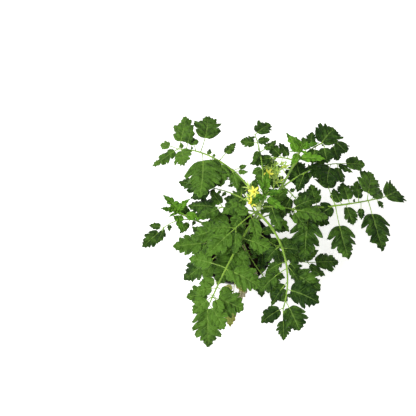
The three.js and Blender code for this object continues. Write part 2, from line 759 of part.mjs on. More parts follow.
const potSlope = (POT.rimRadius - POT.bandStep - POT.baseRadius) / (POT.height - POT.band);
const potInside = (z) => POT.baseRadius - POT.wall + potSlope * z; // below the band

function potSolid() {
  const { height, rimRadius, baseRadius, band, bandStep, lip, wall, floor, sides } = POT;
  const shoulder = height - band;
  const profile = [
    [0, 0],
    [baseRadius - 2, 0],
    [baseRadius, 2],
    [rimRadius - bandStep, shoulder],
    [rimRadius - lip, shoulder + 3],
    [rimRadius - lip, height - 6],
    [rimRadius, height - 5],
    [rimRadius, height],
    [rimRadius - lip - wall, height],
    [rimRadius - lip - wall, shoulder + 4],
    [potInside(shoulder - 1), shoulder - 1],
    [potInside(floor), floor],
    [0, floor],
  ].map(([r, z]) => new THREE.Vector2(r, z));
  const lathe = new THREE.LatheGeometry(profile, sides).rotateX(Math.PI / 2);
  const holes = Array.from({ length: DRAIN.count }, (_, k) => {
    const a = (2 * Math.PI * (k + 0.5)) / DRAIN.count;
    const drill = new THREE.CylinderGeometry(DRAIN.radius, DRAIN.radius, 4 * floor, DRAIN.sides);
    return solidOf(
      drill
        .rotateX(Math.PI / 2)
        .translate(DRAIN.circle * Math.cos(a), DRAIN.circle * Math.sin(a), floor / 2),
    );
  });
  return solidOf(lathe).subtract(Manifold.union(holes));
}

// Height of the compost at a place: a low mound with lumps.
function soilHeight(x, y, radius) {
  const lumps = Math.sin(0.11 * x + 1.3) * Math.cos(0.13 * y) + Math.sin(0.07 * (x + y) + 0.4);
  const mound = SOIL.mound * (1 - Math.hypot(x, y) / radius);
  return SOIL.top + mound + SOIL.lump * lumps * 0.5;
}

function soilSolid(stemRoom) {
  const { sides } = POT;
  const vertices = [];
  const triangles = [];
  const outer = potInside(SOIL.top - 4) - GAP;
  const foot = POT.floor + GAP;
  const ring = (radius, zAt) => {
    const first = vertices.length;
    for (let k = 0; k < sides; k++) {
      const a = (2 * Math.PI * k) / sides;
      const x = radius * Math.sin(a);
      const y = -radius * Math.cos(a);
      vertices.push(new THREE.Vector3(x, y, zAt(x, y)));
    }
    return first;
  };
  const join = (low, high) => {
    for (let k = 0; k < sides; k++) {
      const next = (k + 1) % sides;
      triangles.push([low + k, low + next, high + next], [low + k, high + next, high + k]);
    }
  };
  const heightAt = (x, y) => soilHeight(x, y, outer);
  const bottom = ring(potInside(foot) - GAP, () => foot);
  let previous = ring(outer, () => SOIL.top - 4);
  join(bottom, previous);
  for (let i = SOIL.rings; i >= 1; i--) {
    const next = ring((0.96 * outer * i) / SOIL.rings, heightAt);
    join(previous, next);
    previous = next;
  }
  const top = vertices.push(new THREE.Vector3(0, 0, heightAt(0, 0))) - 1;
  const middle = vertices.push(new THREE.Vector3(0, 0, foot)) - 1;
  for (let k = 0; k < sides; k++) {
    const next = (k + 1) % sides;
    triangles.push([previous + k, previous + next, top], [bottom + next, bottom + k, middle]);
  }
  return solidFrom(vertices, triangles)
    .subtract(stemRoom)
    .subtract(stemRoom.translate([0, 0, -GAP]));
}

// ---------------------------------------------------------------- meshes

const material = (color, roughness) =>
  new THREE.MeshStandardMaterial({ color, roughness, metalness: 0 });
const LOOKS = {
  leaf: material("#3d5f26", 0.6),
  youngLeaf: material("#6c8f3b", 0.6),
  oldLeaf: material("#b9c46c", 0.75),
  dryLeaf: material("#b7ac86", 0.85),
  stem: material("#7f9b4a", 0.6),
  petal: material("#e3dd4e", 0.6),
  fruit: material("#b9c98a", 0.4),
  plastic: material("#1b1b1d", 0.5),
  compost: material("#231a14", 0.95),
};

function meshOf(name, solid, look) {
  const { numProp, vertProperties, triVerts } = solid.getMesh();
  const geometry = new THREE.BufferGeometry();
  const corners = new Float32Array((vertProperties.length / numProp) * 3);
  for (let i = 0; i < corners.length / 3; i++)
    corners.set(vertProperties.subarray(i * numProp, i * numProp + 3), 3 * i);
  geometry.setAttribute("position", new THREE.BufferAttribute(corners, 3));
  geometry.setIndex(new THREE.BufferAttribute(triVerts, 1));
  geometry.computeVertexNormals();
  const mesh = new THREE.Mesh(geometry, look);
  mesh.name = name;
  return mesh;
}

// ---------------------------------------------------------------- build

const plant = new THREE.Group();
const stemRoom = stemSolid(true, GAP);

// The largest body of a solid: nothing that the cuts leave loose is kept.
const mainBody = (solid) => solid.decompose().sort((a, b) => b.volume() - a.volume())[0];

function add(name, solid, look) {
  plant.add(meshOf(name, solid, look));
  occupy(solid);
}

add("pot", potSolid(), LOOKS.plastic);
add("soil", soilSolid(stemRoom), LOOKS.compost);
add("stem", stemSolid(false, 0), LOOKS.stem);

const fronds = FRONDS.map((frond) => {
  const [stemName, share] = frond.on;
  const rachis = rachisOf(frond, STEMS[stemName].line.at(share));
  return { frond, rachis, room: rachisTube(frond, rachis, CLEAR) };
});

// Trusses come before the leaves, so that the leaves give way to the flowers.
const blooms = [];
const fruits = [];
for (const truss of TRUSSES) {
  const [stemName, share] = truss.on;
  const start = STEMS[stemName].line.at(share);
  const peduncle = axis(start, truss.heading, truss.rise, truss.droop, 0, truss.length);
  const pieces = [tube(peduncle, 0, 1, () => TRUSS_RADIUS, 4, 3)];
  for (const flower of truss.flowers) {
    const line = flowerLine(peduncle, flower);
    const seat = flowerSeat(line);
    pieces.push(tube(line, 0, 1, () => 1, 3, 1));
    pieces.push(...(flower[1] === "bud" ? bud(seat) : calyx(seat)));
    if (flower[1] === "bloom") blooms.push(bloomSolid(seat));
    if (flower[1] === "fruit") fruits.push(fruitSolid(seat));
  }
  add(truss.name, mainBody(Manifold.union(pieces).subtract(stemRoom)), LOOKS.stem);
}
blooms.forEach((solid, i) => add(BLOOM_NAMES[i], solid, LOOKS.petal));
fruits.forEach((solid) => add("young_fruit", solid, LOOKS.fruit));

for (const { frond, rachis, room } of fronds) {
  const settled = placed.length;
  fronds.forEach((other) => other.room !== room && occupy(other.room));
  const leaves = leafletsOf(frond, rachis);
  placed.length = settled;
  const pieces = leaves.map((leaf) => leafletSolid(leaf, BLADE, STALK.thick));
  const solid = Manifold.union([rachisTube(frond, rachis), ...pieces]).subtract(stemRoom);
  add(frond.name, mainBody(solid), LOOKS[frond.look ?? "leaf"]);
}

for (const shoot of SHOOTS) {
  const stem = STEMS[shoot.on];
  const foot = stem.tipFrom + GAP / stem.line.length;
  const pieces = [tube(stem.line, foot, 1, stemRadius(stem, 0), stem.sides, 1)];
  const near = [];
  for (let i = 0; i < shoot.leaves; i++)
    for (const lift of LIFTS) {
      const leaf = youngLeafOf(shoot, stem, i, lift);
      const fat = leafletSolid(leaf, 2 * CLEAR, 2 * CLEAR, ROOT_ROOM);
      if (crosses(fat, placed) || crosses(fat, near)) continue;
      near.push({ solid: fat, box: fat.boundingBox() });
      pieces.push(leafletSolid(leaf, BLADE, STALK.thick));
      break;
    }
  add(shoot.name, mainBody(Manifold.union(pieces)), LOOKS.youngLeaf);
}

export default plant;
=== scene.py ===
"""A bushy tomato plant in a round black plastic nursery pot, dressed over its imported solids.

Every leaf grows by the same rules as its solid: a rachis bends away from the stem, leaflets
leave it in turn, and each leaflet is a folded, lobed blade. Here the blades get toothed and
waved margins, quilting between their veins and a sunk midrib, and stems and stalks get their
hairs. Sizes are in millimetres and angles in degrees until a mesh is made.
"""

import math
from functools import partial

import bpy
import numpy as np
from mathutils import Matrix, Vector
from mathutils.kdtree import KDTree


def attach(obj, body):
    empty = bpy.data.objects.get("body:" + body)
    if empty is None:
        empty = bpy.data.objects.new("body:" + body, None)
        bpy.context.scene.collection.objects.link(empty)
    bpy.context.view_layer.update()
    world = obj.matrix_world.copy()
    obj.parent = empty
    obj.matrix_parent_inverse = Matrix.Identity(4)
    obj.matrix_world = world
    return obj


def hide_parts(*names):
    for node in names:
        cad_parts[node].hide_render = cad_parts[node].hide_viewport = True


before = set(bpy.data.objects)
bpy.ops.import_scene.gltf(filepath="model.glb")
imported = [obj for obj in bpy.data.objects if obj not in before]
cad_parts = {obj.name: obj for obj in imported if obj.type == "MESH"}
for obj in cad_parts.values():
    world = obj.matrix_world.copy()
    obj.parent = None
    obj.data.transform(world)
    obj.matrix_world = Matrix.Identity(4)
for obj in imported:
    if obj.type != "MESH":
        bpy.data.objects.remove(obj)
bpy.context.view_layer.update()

MM = 0.001

# ---------------------------------------------------------------- camera and light

PHOTO_SIDE = 416  # pixels
FOCAL_LENGTH = 443  # pixels
SENSOR = 36  # mm
LOOKS_DOWN = 70
CAMERA_PLACE = (-0.0853, -0.3660, 1.5616)  # metres


def set_camera():
    data = bpy.data.cameras.new("camera")
    data.sensor_width = SENSOR
    data.lens = SENSOR * FOCAL_LENGTH / PHOTO_SIDE
    camera = bpy.data.objects.new("camera", data)
    camera.location = CAMERA_PLACE
    camera.rotation_euler = (math.radians(90 - LOOKS_DOWN), 0, 0)
    bpy.context.scene.collection.objects.link(camera)
    bpy.context.scene.camera = camera


set_camera()

# ---------------------------------------------------------------- sizes of the plant and its pot

POT = {
    "height": 205, "rim_radius": 120, "base_radius": 86, "band": 26, "band_step": 6,
    "lip": 3, "wall": 2.2, "floor": 2.6,
}
DRAIN = {"count": 6, "radius": 7, "circle": 58}
SOIL = {"top": 172, "mound": 8, "lump": 2.2, "rings": 52}
GAP = 0.3  # between a solid and what it rests on
STEPS = 24  # straight pieces of a curved line
VEIN_SLANT = 36  # how far side veins lean towards a leaflet's tip
STALK_HALF = 1.1  # half the width of a leaflet's stalk
SOLID_BLADE = 0.9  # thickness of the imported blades
BLADE = 0.7  # thickness of these blades

LEAFLET = {"perk": 6, "hang": 24, "curl": 14, "fold": 13, "level": 0.8, "end_slope": 0.6}
VARY = {
    "turn": 7, "rise": 8, "hang": 12, "curl": 10, "width": 0.1, "roll": 10, "fold": 6, "place": 0.025,
}
PAIRS = {
    "count": 2, "place": (0.34, 0.88), "spread": (66, 48), "length": 0.82, "end_length": 1.25,
    "stalk": 12, "end_stalk": 6,
}
YOUNG = {
    "length": (1.15, 0.7), "rise": (22, 66), "stalk": 12, "hang": 46, "fold": 16, "above": 5,
    "highest": 0.985, "width": 0.82, "tone": 0.45, "tone_swing": 0.25,
}
LIFTS = (0, 10, -10, 20, -20, 32, -32, 46, -46, 62, -62)  # tilts that a solid leaflet may have
STEEPEST = 84  # rise at which a leaflet may start
LEAF_TURN = 137.5  # from each leaf on a shoot to the next

# Leaflet outlines. Each lobe is (where its vein leaves the midrib, how far it reaches), each
# notch the same, as shares of the blade's length.
OUTLINES = {
    "small": {"lobes": [(0.16, 0.38)], "notches": []},
    "oval": {"lobes": [(0.06, 0.33), (0.36, 0.33)], "notches": [(0.22, 0.24)]},
    "side": {
        "lobes": [(0.03, 0.37), (0.27, 0.39), (0.53, 0.27)],
        "notches": [(0.16, 0.2), (0.41, 0.2)],
    },
    "cut": {
        "lobes": [(0.02, 0.44), (0.28, 0.38), (0.54, 0.26)],
        "notches": [(0.15, 0.1), (0.42, 0.18)],
    },
    "end": {
        "lobes": [(0, 0.42), (0.2, 0.45), (0.41, 0.36), (0.63, 0.23)],
        "notches": [(0.12, 0.18), (0.32, 0.21), (0.54, 0.15)],
    },
    "young": {"lobes": [(0.1, 0.3), (0.42, 0.26)], "notches": [(0.34, 0.08)]},
}

# ---------------------------------------------------------------- this plant's leaves

# Each leaf: on: the stem and the share of its length where it grows. tone: painted light and shade,
# partly the deeper green of older leaves: 0 paints the deep green of an old leaf in the shade, 1 the
# light green of a leaf in the sun. heading, rise, droop, sway and length: its rachis as a Line.
# thick: the rachis's radius at its root. size: the length of its leaflets where they stand in pairs,
# or None. look: old and dry leaves have one of their own.
LEAF_COLUMNS = (
    "name", "on", "tone", "heading", "rise", "droop", "sway", "length", "thick", "size", "seed", "look",
)
LEAVES = [
    ("leaf_upper_left", ("main", 0.82), 0.55, 124, 29, 64, 37, 289, 2.9, None, 11),
    ("leaf_back", ("main", 0.91), 0.2, 91, 44, 68, 10, 174, 2.1, None, 23),
    ("leaf_back_right", ("right", 0.8), 0.12, 45, 46, 63, -26, 130, 2.3, None, 37),
    ("leaf_right_upper", ("right", 0.55), 0.15, 36, 29, 51, -22, 177, 2.2, None, 41),
    ("leaf_right", ("right", 0.28), 0.2, -9, 28, 64, 35, 371, 3.1, None, 53),
    ("leaf_front_right", ("main", 0.7), 0.22, -48, 22, 49, -59, 272, 3.3, None, 67),
    ("leaf_front", ("main", 0.62), 0.75, -121, 24, 44, 6, 278, 3.3, None, 71),
    ("leaf_left", ("main", 0.42), 0.4, -146, 34, 59, -30, 144, 2.2, 70, 83),
    ("leaf_left_upper", ("main", 0.76), 0.25, 150, 27, 61, 9, 155, 2.2, 64, 97),
    ("leaf_inner_front", ("right", 0.12), 0.45, 26, 20, 53, -35, 143, 2.2, 66, 151),
    ("leaf_inner_right", ("main", 0.5), 0.4, -60, 23, 47, 38, 108, 2.1, 66, 103),
    ("leaf_low_right", ("main", 0.26), 0.25, -47, 21, 38, 52, 231, 2.4, 66, 113),
    ("leaf_low_front", ("main", 0.22), 0.4, -80, 37, 41, 30, 155, 2.3, 66, 157),
    ("leaf_low_left", ("main", 0.3), 0.4, -137, 27, 49, -12, 141, 2.1, 74, 163),
    ("leaf_inner_left", ("main", 0.66), 0.35, 121, 43, 66, 15, 140, 2.1, 64, 167),
    ("leaf_inner_back", ("main", 0.56), 0.35, 50, 50, 51, 30, 115, 2.1, 66, 173),
    ("leaf_shoot_left", ("left", 0.55), 0.35, 155, 30, 64, 65, 150, 2.1, 52, 181),
    ("leaf_centre", ("main", 0.47), 0.6, -120, 45, 50, 0, 100, 2.1, 80, 191),
    ("leaf_mid_right", ("main", 0.79), 0.45, -8, 36, 58, 0, 96, 2.2, 66, 211),
    ("leaf_mid_front", ("main", 0.74), 0.6, -139, 37, 56, 0, 98, 2.1, 70, 223),
    ("leaf_mid_left", ("main", 0.71), 0.35, 182, 36, 58, -14, 112, 2.1, 64, 227),
    ("leaf_centre_left", ("main", 0.52), 0.5, -165, 45, 50, 0, 80, 2.1, 78, 197),
    ("leaf_crown", ("right", 0.86), 0.2, 168, 34, 58, 8, 60, 1.9, None, 229),
    ("leaf_crown_low", ("right", 0.6), 0.35, -45, 20, 60, 0, 60, 2, None, 233),
    ("leaf_old", ("main", 0.12), 0, -97, 34, 47, -2, 212, 1.9, None, 131, "old"),
    ("leaf_withered", ("main", 0.16), 0, -60, 34, 61, -49, 144, 1.7, None, 139, "dry"),
]
# Leaflets that the photo shows one by one: place on the rachis, side (1 left, -1 right, 0 the
# tip), length, spread from the rachis, stalk, outline and, where it isn't 1, width.
LEAFLETS = {
    "leaf_upper_left": [
        (1, 0, 75, 50, 10, "end", 0.8),
        (0.74, -1, 90, 75, 47, "side", 1.1),
        (0.99, -1, 100, 90, 24, "side", 0.85),
        (0.9, -1, 55, 85, 17, "oval", 0.7),
        (0.79, -1, 50, 55, 26, "oval", 0.9),
        (0.96, 1, 60, 120, 9, "side", 1.2),
        (0.72, 1, 110, 120, 29, "cut", 1.1),
        (0.61, 1, 75, 125, 6, "side", 0.9),
        (0.54, -1, 45, 95, 28, "side", 0.75),
        (0.52, 1, 60, 130, 9, "side", 0.9),
        (0.39, -1, 20, 115, 19, "oval"),
        (1, -1, 45, 20, 36, "oval"),
        (0.4, 1, 45, 155, 8, "side"),
        (0.38, -1, 25, 145, 13, "oval", 0.9),
    ],
    "leaf_back": [
        (1, 0, 55, -55, 9, "side", 1.2),
        (0.87, -1, 30, 105, 3, "side", 1.2),
        (0.83, 1, 35, 80, 9, "side", 1.4),
        (0.67, -1, 45, 65, 16, "oval", 0.8),
        (0.76, 1, 40, 160, 15, "oval", 0.7),
        (0.57, 1, 15, 130, 3, "oval", 1.2),
        (0.43, 1, 25, 120, 3, "side", 1.3),
    ],
    "leaf_back_right": [
        (1, 0, 35, -75, 12, "side", 1.7),
        (0.72, 1, 60, 30, 3, "side", 1.7),
        (0.86, 1, 45, 5, 8, "side", 1.4),
        (0.47, 1, 30, 55, 17, "side", 1.3),
        (0.38, 1, 30, 60, 18, "oval", 1.2),
        (0.61, -1, 35, 140, 10, "side", 1.6),
        (0.77, -1, 40, 110, 16, "side", 1.5),
        (0.93, -1, 40, 85, 17, "side", 1.4),
        (0.35, 1, 30, 110, 14, "small", 1.3),
    ],
    "leaf_right_upper": [
        (1, 0, 45, -40, 6, "oval", 0.7),
        (0.73, 1, 40, 85, 5, "oval", 1.2),
        (0.91, -1, 65, 15, 39, "oval"),
        (0.75, -1, 45, 155, 3, "side", 1.5),
        (0.89, -1, 70, 130, 18, "cut", 1.3),
        (1, -1, 45, 100, 14, "side", 1.2),
        (0.57, -1, 20, 140, 6, "small"),
        (0.44, -1, 45, 135, 9, "oval", 1.2),
    ],
    "leaf_right": [
        (1, 0, 55, 0, 3, "side", 2.1),
        (0.33, 1, 75, 110, 69, "side", 1.3),
        (0.33, -1, 105, 110, 40, "cut"),
        (0.51, 1, 75, 100, 53, "cut", 1.3),
        (0.5, -1, 60, 160, 7, "side", 1.2),
        (0.59, -1, 50, 90, 10, "side", 1.3),
        (0.51, -1, 90, 105, 58, "cut", 1.05),
        (0.62, 1, 55, 90, 13, "side", 1.4),
        (0.7, 1, 60, 70, 12, "side", 0.9),
        (0.78, 1, 80, 60, 23, "side", 1.4),
        (0.79, -1, 105, 105, 42, "cut"),
        (0.88, -1, 25, 75, 8, "small", 1.5),
        (0.82, 1, 85, 25, 20, "oval", 0.9),
        (0.38, 1, 55, 105, 12, "side", 1.1),
        (0.72, -1, 30, 115, 20, "oval", 1.1),
        (0.56, 1, 45, 100, 10, "side"),
    ],
    "leaf_front_right": [
        (1, 0, 50, 15, 29, "end", 0.9),
        (0.34, 1, 30, 45, 10, "oval", 1.2),
        (0.44, 1, 30, 70, 12, "oval", 1.4),
        (0.55, 1, 40, 35, 15, "side", 1.2),
        (0.66, 1, 70, 60, 23, "side", 1.3),
        (0.82, 1, 75, 75, 10, "side", 1.4),
        (0.92, 1, 60, 40, 19, "side", 1.4),
        (0.99, -1, 60, 45, 11, "oval", 1.1),
        (0.75, -1, 50, 45, 24, "side", 0.75),
        (0.63, -1, 55, 60, 35, "side", 1.1),
        (0.41, -1, 45, 75, 17, "side"),
        (0.22, 1, 30, 50, 10, "oval", 1.2),
        (0.57, -1, 35, 85, 22, "side", 1.1),
        (0.59, 1, 35, 30, 20, "side"),
    ],
    "leaf_front": [
        (1, 0, 100, 25, 3, "end"),
        (0.3, -1, 75, 85, 30, "side"),
        (0.28, 1, 70, 100, 23, "side"),
        (0.61, -1, 60, 85, 40, "side", 1.2),
        (0.62, 1, 80, 100, 21, "side", 1.3),
        (0.88, -1, 60, 75, 15, "side", 1.1),
        (0.9, 1, 70, 100, 16, "side", 1.4),
        (0.61, 1, 30, 55, 8, "oval", 1.2),
        (0.8, 1, 45, 90, 12, "oval", 1.3),
        (0.75, -1, 40, 70, 13, "side", 1.2),
        (0.44, 1, 30, 105, 11, "oval", 1.2),
        (0.42, -1, 40, 70, 14, "oval", 1.2),
        (0.97, 1, 60, 65, 13, "side", 1.1),
        (0.87, 1, 40, 50, 20, "oval", 1.2),
        (0.67, 1, 35, 100, 10, "oval", 1.2),
        (0.81, -1, 40, 65, 13, "side", 1.3),
        (0.89, -1, 50, 25, 17, "side", 1.1),
        (0.89, 1, 55, 65, 24, "side"),
    ],
    "leaf_crown": [
        (1, 0, 55, 10, 4, "side", 0.9),
        (0.6, -1, 45, 40, 8, "side"),
        (0.35, -1, 45, 70, 8, "oval", 0.9),
    ],
    "leaf_crown_low": [
        (1, 0, 60, 0, 6, "side"),
        (0.6, -1, 60, 70, 12, "side"),
        (0.75, 1, 55, 65, 12, "side", 0.9),
    ],
    "leaf_old": [
        (1, 0, 50, 0, 6, "oval"),
        (0.65, 1, 35, 60, 8, "oval"),
        (0.7, -1, 35, 60, 8, "oval"),
    ],
    "leaf_withered": [
        (1, 0, 50, 0, 6, "oval"),
        (0.65, 1, 35, 60, 8, "oval"),
    ],
}

FRONDS = [dict(zip(LEAF_COLUMNS, leaf)) for leaf in LEAVES]

SHOOTS = [
    dict(name="shoot_tip_main", on="main", leaves=5, length=46, seed=307),
    dict(name="shoot_tip_right", on="right", leaves=5, length=54, seed=331),
    dict(name="shoot_tip_left", on="left", leaves=5, length=56, seed=353),
]

# A flower is (place on the truss's stalk, kind, heading, rise, length of its own stalk).
TRUSSES = [
    dict(
        name="truss_open", on=("main", 0.86), heading=150, rise=62, droop=14, length=46,
        small_buds=5,
        flowers=[
            (1, "bloom", -105, 70, 12),
            (0.6, "bloom", -130, 24, 24),
            (0.4, "fruit", -95, 8, 18),
            (0.85, "bud", 150, 42, 17),
            (0.6, "bud", 190, 30, 18),
        ],
    ),
    dict(
        name="truss_budding", on=("right", 0.42), heading=91, rise=64, droop=31, length=104,
        small_buds=20,
        flowers=[
            (1, "bud", 91, 50, 14),
            (0.93, "bud", 20, 34, 17),
            (0.84, "bud", 160, 30, 18),
            (0.9, "bud", -30, 62, 28),
            (0.78, "bud", 10, 58, 34),
            (0.74, "bloom", -165, 50, 24),
            (0.63, "bud", -80, 52, 20),
            (0.52, "bud", 10, 40, 17),
            (0.42, "bud", -170, 24, 16),
        ],
    ),
]
BLOOM_NAMES = ["bloom_top", "bloom_side", "bloom_back"]
TRUSS_RADIUS = 1.5
FRUIT_RADIUS = 7

# ---------------------------------------------------------------- curved axes


def draw(seed):
    """A repeatable number from 0 to 1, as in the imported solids."""
    x = math.sin(seed * 12.9898) * 43758.5453
    return x - math.floor(x)


def swing(seed):
    """A repeatable number from -1 to 1."""
    return 2 * draw(seed) - 1


def lerp(ends, share):
    return ends[0] + (ends[1] - ends[0]) * share


class Line:
    """A stem, leaf stalk or midrib: it leaves start at a heading (from +X, seen from above) and
    a rise above the horizontal, loses droop of its rise on its way and turns by sway."""

    def __init__(self, start, heading, rise, droop, sway, length):
        self.heading, self.rise, self.droop, self.sway = heading, rise, droop, sway
        self.length = length
        steps = self.aim((np.arange(STEPS) + 0.5) / STEPS) * length / STEPS
        self.points = np.vstack([start, start + np.cumsum(steps, axis=0)])

    def aim(self, s):
        heading = np.radians(self.heading + self.sway * s)
        rise = np.radians(self.rise - self.droop * s)
        return np.stack(
            [np.cos(rise) * np.cos(heading), np.cos(rise) * np.sin(heading), np.sin(rise)], axis=-1
        )

    def at(self, s):
        steps = np.arange(STEPS + 1) / STEPS
        return np.stack([np.interp(s, steps, self.points[:, k]) for k in range(3)], axis=-1)

    def frame(self, s, roll=0):
        """Forward, left and up at s, turned by roll about forward."""
        heading = np.radians(self.heading + self.sway * s)
        forward = self.aim(s)
        level = np.stack([-np.sin(heading), np.cos(heading), 0 * heading], axis=-1)
        rise = np.cross(forward, level)
        c, d = np.cos(np.radians(roll)), np.sin(np.radians(roll))
        return forward, level * c + rise * d, rise * c - level * d


# ---------------------------------------------------------------- meshes

MARKS = ("tone", "vein", "side", "under")


class Piece:
    """Gathers closed sheets and tubes, then makes one mesh of them."""

    def __init__(self):
        self.points, self.faces, self.slots = [], [], []
        self.marks = {name: [] for name in MARKS}
        self.count = 0

    def add(self, points, faces, slot, **marks):
        points = np.asarray(points, float).reshape(-1, 3)
        self.points.append(points)
        self.faces += [[self.count + int(v) for v in face] for face in faces]
        self.slots += [slot] * len(faces)
        for name in MARKS:
            self.marks[name].append(np.broadcast_to(marks.get(name, 0), len(points)))
        self.count += len(points)

    def make(self, name, materials, node, slot, sharp=60):
        mesh = bpy.data.meshes.new(name)
        mesh.from_pydata(np.concatenate(self.points) * MM, [], self.faces)
        for material in materials:
            mesh.materials.append(material)
        mesh.polygons.foreach_set("material_index", self.slots)
        for mark, values in self.marks.items():
            attribute = mesh.attributes.new(mark, "FLOAT", "POINT")
            attribute.data.foreach_set("value", np.concatenate(values).astype(np.float32))
        mesh.shade_smooth()
        mesh.set_sharp_from_angle(angle=math.radians(sharp))
        made = bpy.data.objects.new(name, mesh)
        bpy.context.scene.collection.objects.link(made)
        return settle(made, node, slot)


def settle(made, node, slot):
    """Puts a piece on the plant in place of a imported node."""
    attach(made, "root")
    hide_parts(node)
    return made


def grid_quads(index):
    """Quads between the rows and columns of a grid of point numbers."""
    corners = (index[:-1, :-1], index[1:, :-1], index[1:, 1:], index[:-1, 1:])
    return np.stack(corners, axis=-1).reshape(-1, 4)


def add_sheet(piece, top, bottom, slot, **marks):
    """A thin closed sheet between two grids of points. Rows run forward, columns to the left."""
    rows, columns = top.shape[:2]
    count = rows * columns
    index = np.arange(count).reshape(rows, columns)
    upper = grid_quads(index)
    lower = grid_quads(index + count)[:, ::-1]
    rim = np.concatenate([index[:-1, 0], index[-1, :-1], index[:0:-1, -1], index[0, :0:-1]])
    after = np.roll(rim, -1)
    walls = np.stack([after, rim, rim + count, after + count], axis=-1)
    both = {name: np.tile(np.broadcast_to(v, (rows, columns)).ravel(), 2) for name, v in marks.items()}
    under = np.repeat([0, 1], count)
    points = np.concatenate([top.reshape(-1, 3), bottom.reshape(-1, 3)])
    piece.add(points, [*upper, *lower, *walls], slot, under=under, **both)


def add_tube(piece, line, stations, radii, sides, slot, drop=0, groove=0, **marks):
    """A closed tube along a line, with a radius at each station. drop lowers it there, groove is
    the depth of a channel along its top as a share of the radius."""
    stations, radii = np.asarray(stations, float), np.asarray(radii, float)
    drop = np.broadcast_to(drop, stations.shape)[:, None]
    _, left, up = line.frame(stations)
    turn = 2 * np.pi * (np.arange(sides) + 0.5) / sides
    channel = 1 - groove * np.clip(np.sin(turn), 0, 1) ** 3
    out = radii[:, None] * channel
    ring = (
        line.at(stations)[:, None]
        + left[:, None] * (out * np.cos(turn))[..., None]
        + up[:, None] * (out * np.sin(turn) - drop)[..., None]
    )
    add_rings(piece, ring, slot, **marks)


def add_rings(piece, ring, slot, **marks):
    """A closed tube through rings of points that turn from left to up, seen from behind."""
    rows, sides = ring.shape[:2]
    index = np.arange(rows * sides).reshape(rows, sides)
    following = np.roll(index, -1, axis=1)
    quads = np.stack([index[:-1], following[:-1], following[1:], index[1:]], axis=-1).reshape(-1, 4)
    piece.add(ring, [*quads, index[0, ::-1], index[-1]], slot, **marks)


# ---------------------------------------------------------------- the blade of a leaflet

COLUMNS = (0.1, 0.28, 0.5, 0.75, 1)  # shares of the reach at which a blade has points
LOBE_ROWS = 12
LOBE_FULLNESS = 0.55  # 1 is a round lobe, less is blunter
LOBE_TOOTH = 0.016  # height of the teeth as a share of the blade's size
LOBE_TEETH = 3.5  # on each lobe
UNEVEN = 0.11  # how much one lobe is longer or shorter than the rule
TIP_ROWS = 13
TIP_TEETH = 0.16  # height of the tip's two steps as a share of its width
TIP_VEINS = (0.24, 0.55)  # places on the tip stretch that a side vein runs to
TIP_TAPER = 0.95
BASE_WIDTH = 0.03  # share of the midrib that the foot of a blade spreads over
BASE_SAG = 0.1  # how far the foot of a blade rounds back, as a share of its size
FULLNESS = 1.08  # how much larger a blade is than its solid
RIM = 5  # the larger, the closer to the margin its teeth keep
RIM_THINS = 0.45  # how much thinner a blade is at its margin


def edge_of(outline, seed):
    """Rows of a blade as three arrays: place on the midrib, reach, and how far a tooth stands out.
    Each lobe is an arch between its notches. Then where the side veins leave the midrib."""
    lobes, notches = OUTLINES[outline]["lobes"], OUTLINES[outline]["notches"]
    lobes = [(max(lobes[0][0], BASE_WIDTH), lobes[0][1]), *lobes[1:]]
    rows = []
    for i, (place, reach) in enumerate(lobes):
        for k in range(LOBE_ROWS):
            turn = math.pi * (k + 0.5) / LOBE_ROWS
            near = i - 1 if turn < math.pi / 2 else i
            if near < len(notches):
                notch = notches[near] if near >= 0 else (0, 0)
                high = math.sin(turn) ** LOBE_FULLNESS
                tooth = math.sin(2 * LOBE_TEETH * turn + 9 * draw(seed + i)) * math.sin(turn)
                at = lerp((place, notch[0]), abs(math.cos(turn)))
                tall = reach * (1 + UNEVEN * swing(seed + 5 * i))
                rows.append((at, lerp((notch[1], tall), high), LOBE_TOOTH * tooth))
    place, reach = lobes[-1]
    for k in range(TIP_ROWS):
        x = (k + 0.5) / TIP_ROWS
        step = math.sin(14 * x + 0.6) * (1 - x) * min(1, 5 * x)
        rows.append((lerp((place, 1), x), reach * (1 - x) ** TIP_TAPER, reach * TIP_TEETH * step))
    veins = [at for at, _ in lobes] + [lerp((place, 1), x) for x in TIP_VEINS]
    return (*np.array(rows).T, veins)


FORM = {
    "quilt": 0.055,  # height of the swelling between side veins, as a share of the blade's length
    "curl": 0.1,  # how far the margins turn down
    "wave": 0.055,  # height of the margin's waves
    "waves": 2.3,  # waves from foot to tip
    "crumple": 0,  # height of the creases of a dried blade
}
FORMS = {
    "leaf": FORM,
    "young": {**FORM, "curl": 0.03},
    "old": {**FORM, "wave": 0.04},
    "dry": {**FORM, "curl": 0.12, "wave": 0.07, "waves": 3.4, "crumple": 0.03},
}


def blade_height(form, leaf, along, across, vein):
    """Height of a blade over its folded plane: quilted between veins, waved and turned down."""
    seed, width = leaf["seed"], np.abs(across)
    quilt = form["quilt"] * np.sin(np.pi * vein) ** 2 * np.sin(np.pi * width**0.8)
    curl = form["curl"] * (1 + 0.6 * swing(seed + 23)) * width**2.2
    phase = 9 * draw(seed + 22) + 2 * across
    wave = form["wave"] * width**2 * np.sin(2 * np.pi * form["waves"] * along + phase)
    crumple = form["crumple"] * np.sin(17 * along + 4 * across) * np.sin(11 * along - 7 * across)
    return leaf["blade"] * (quilt - curl + wave + crumple)


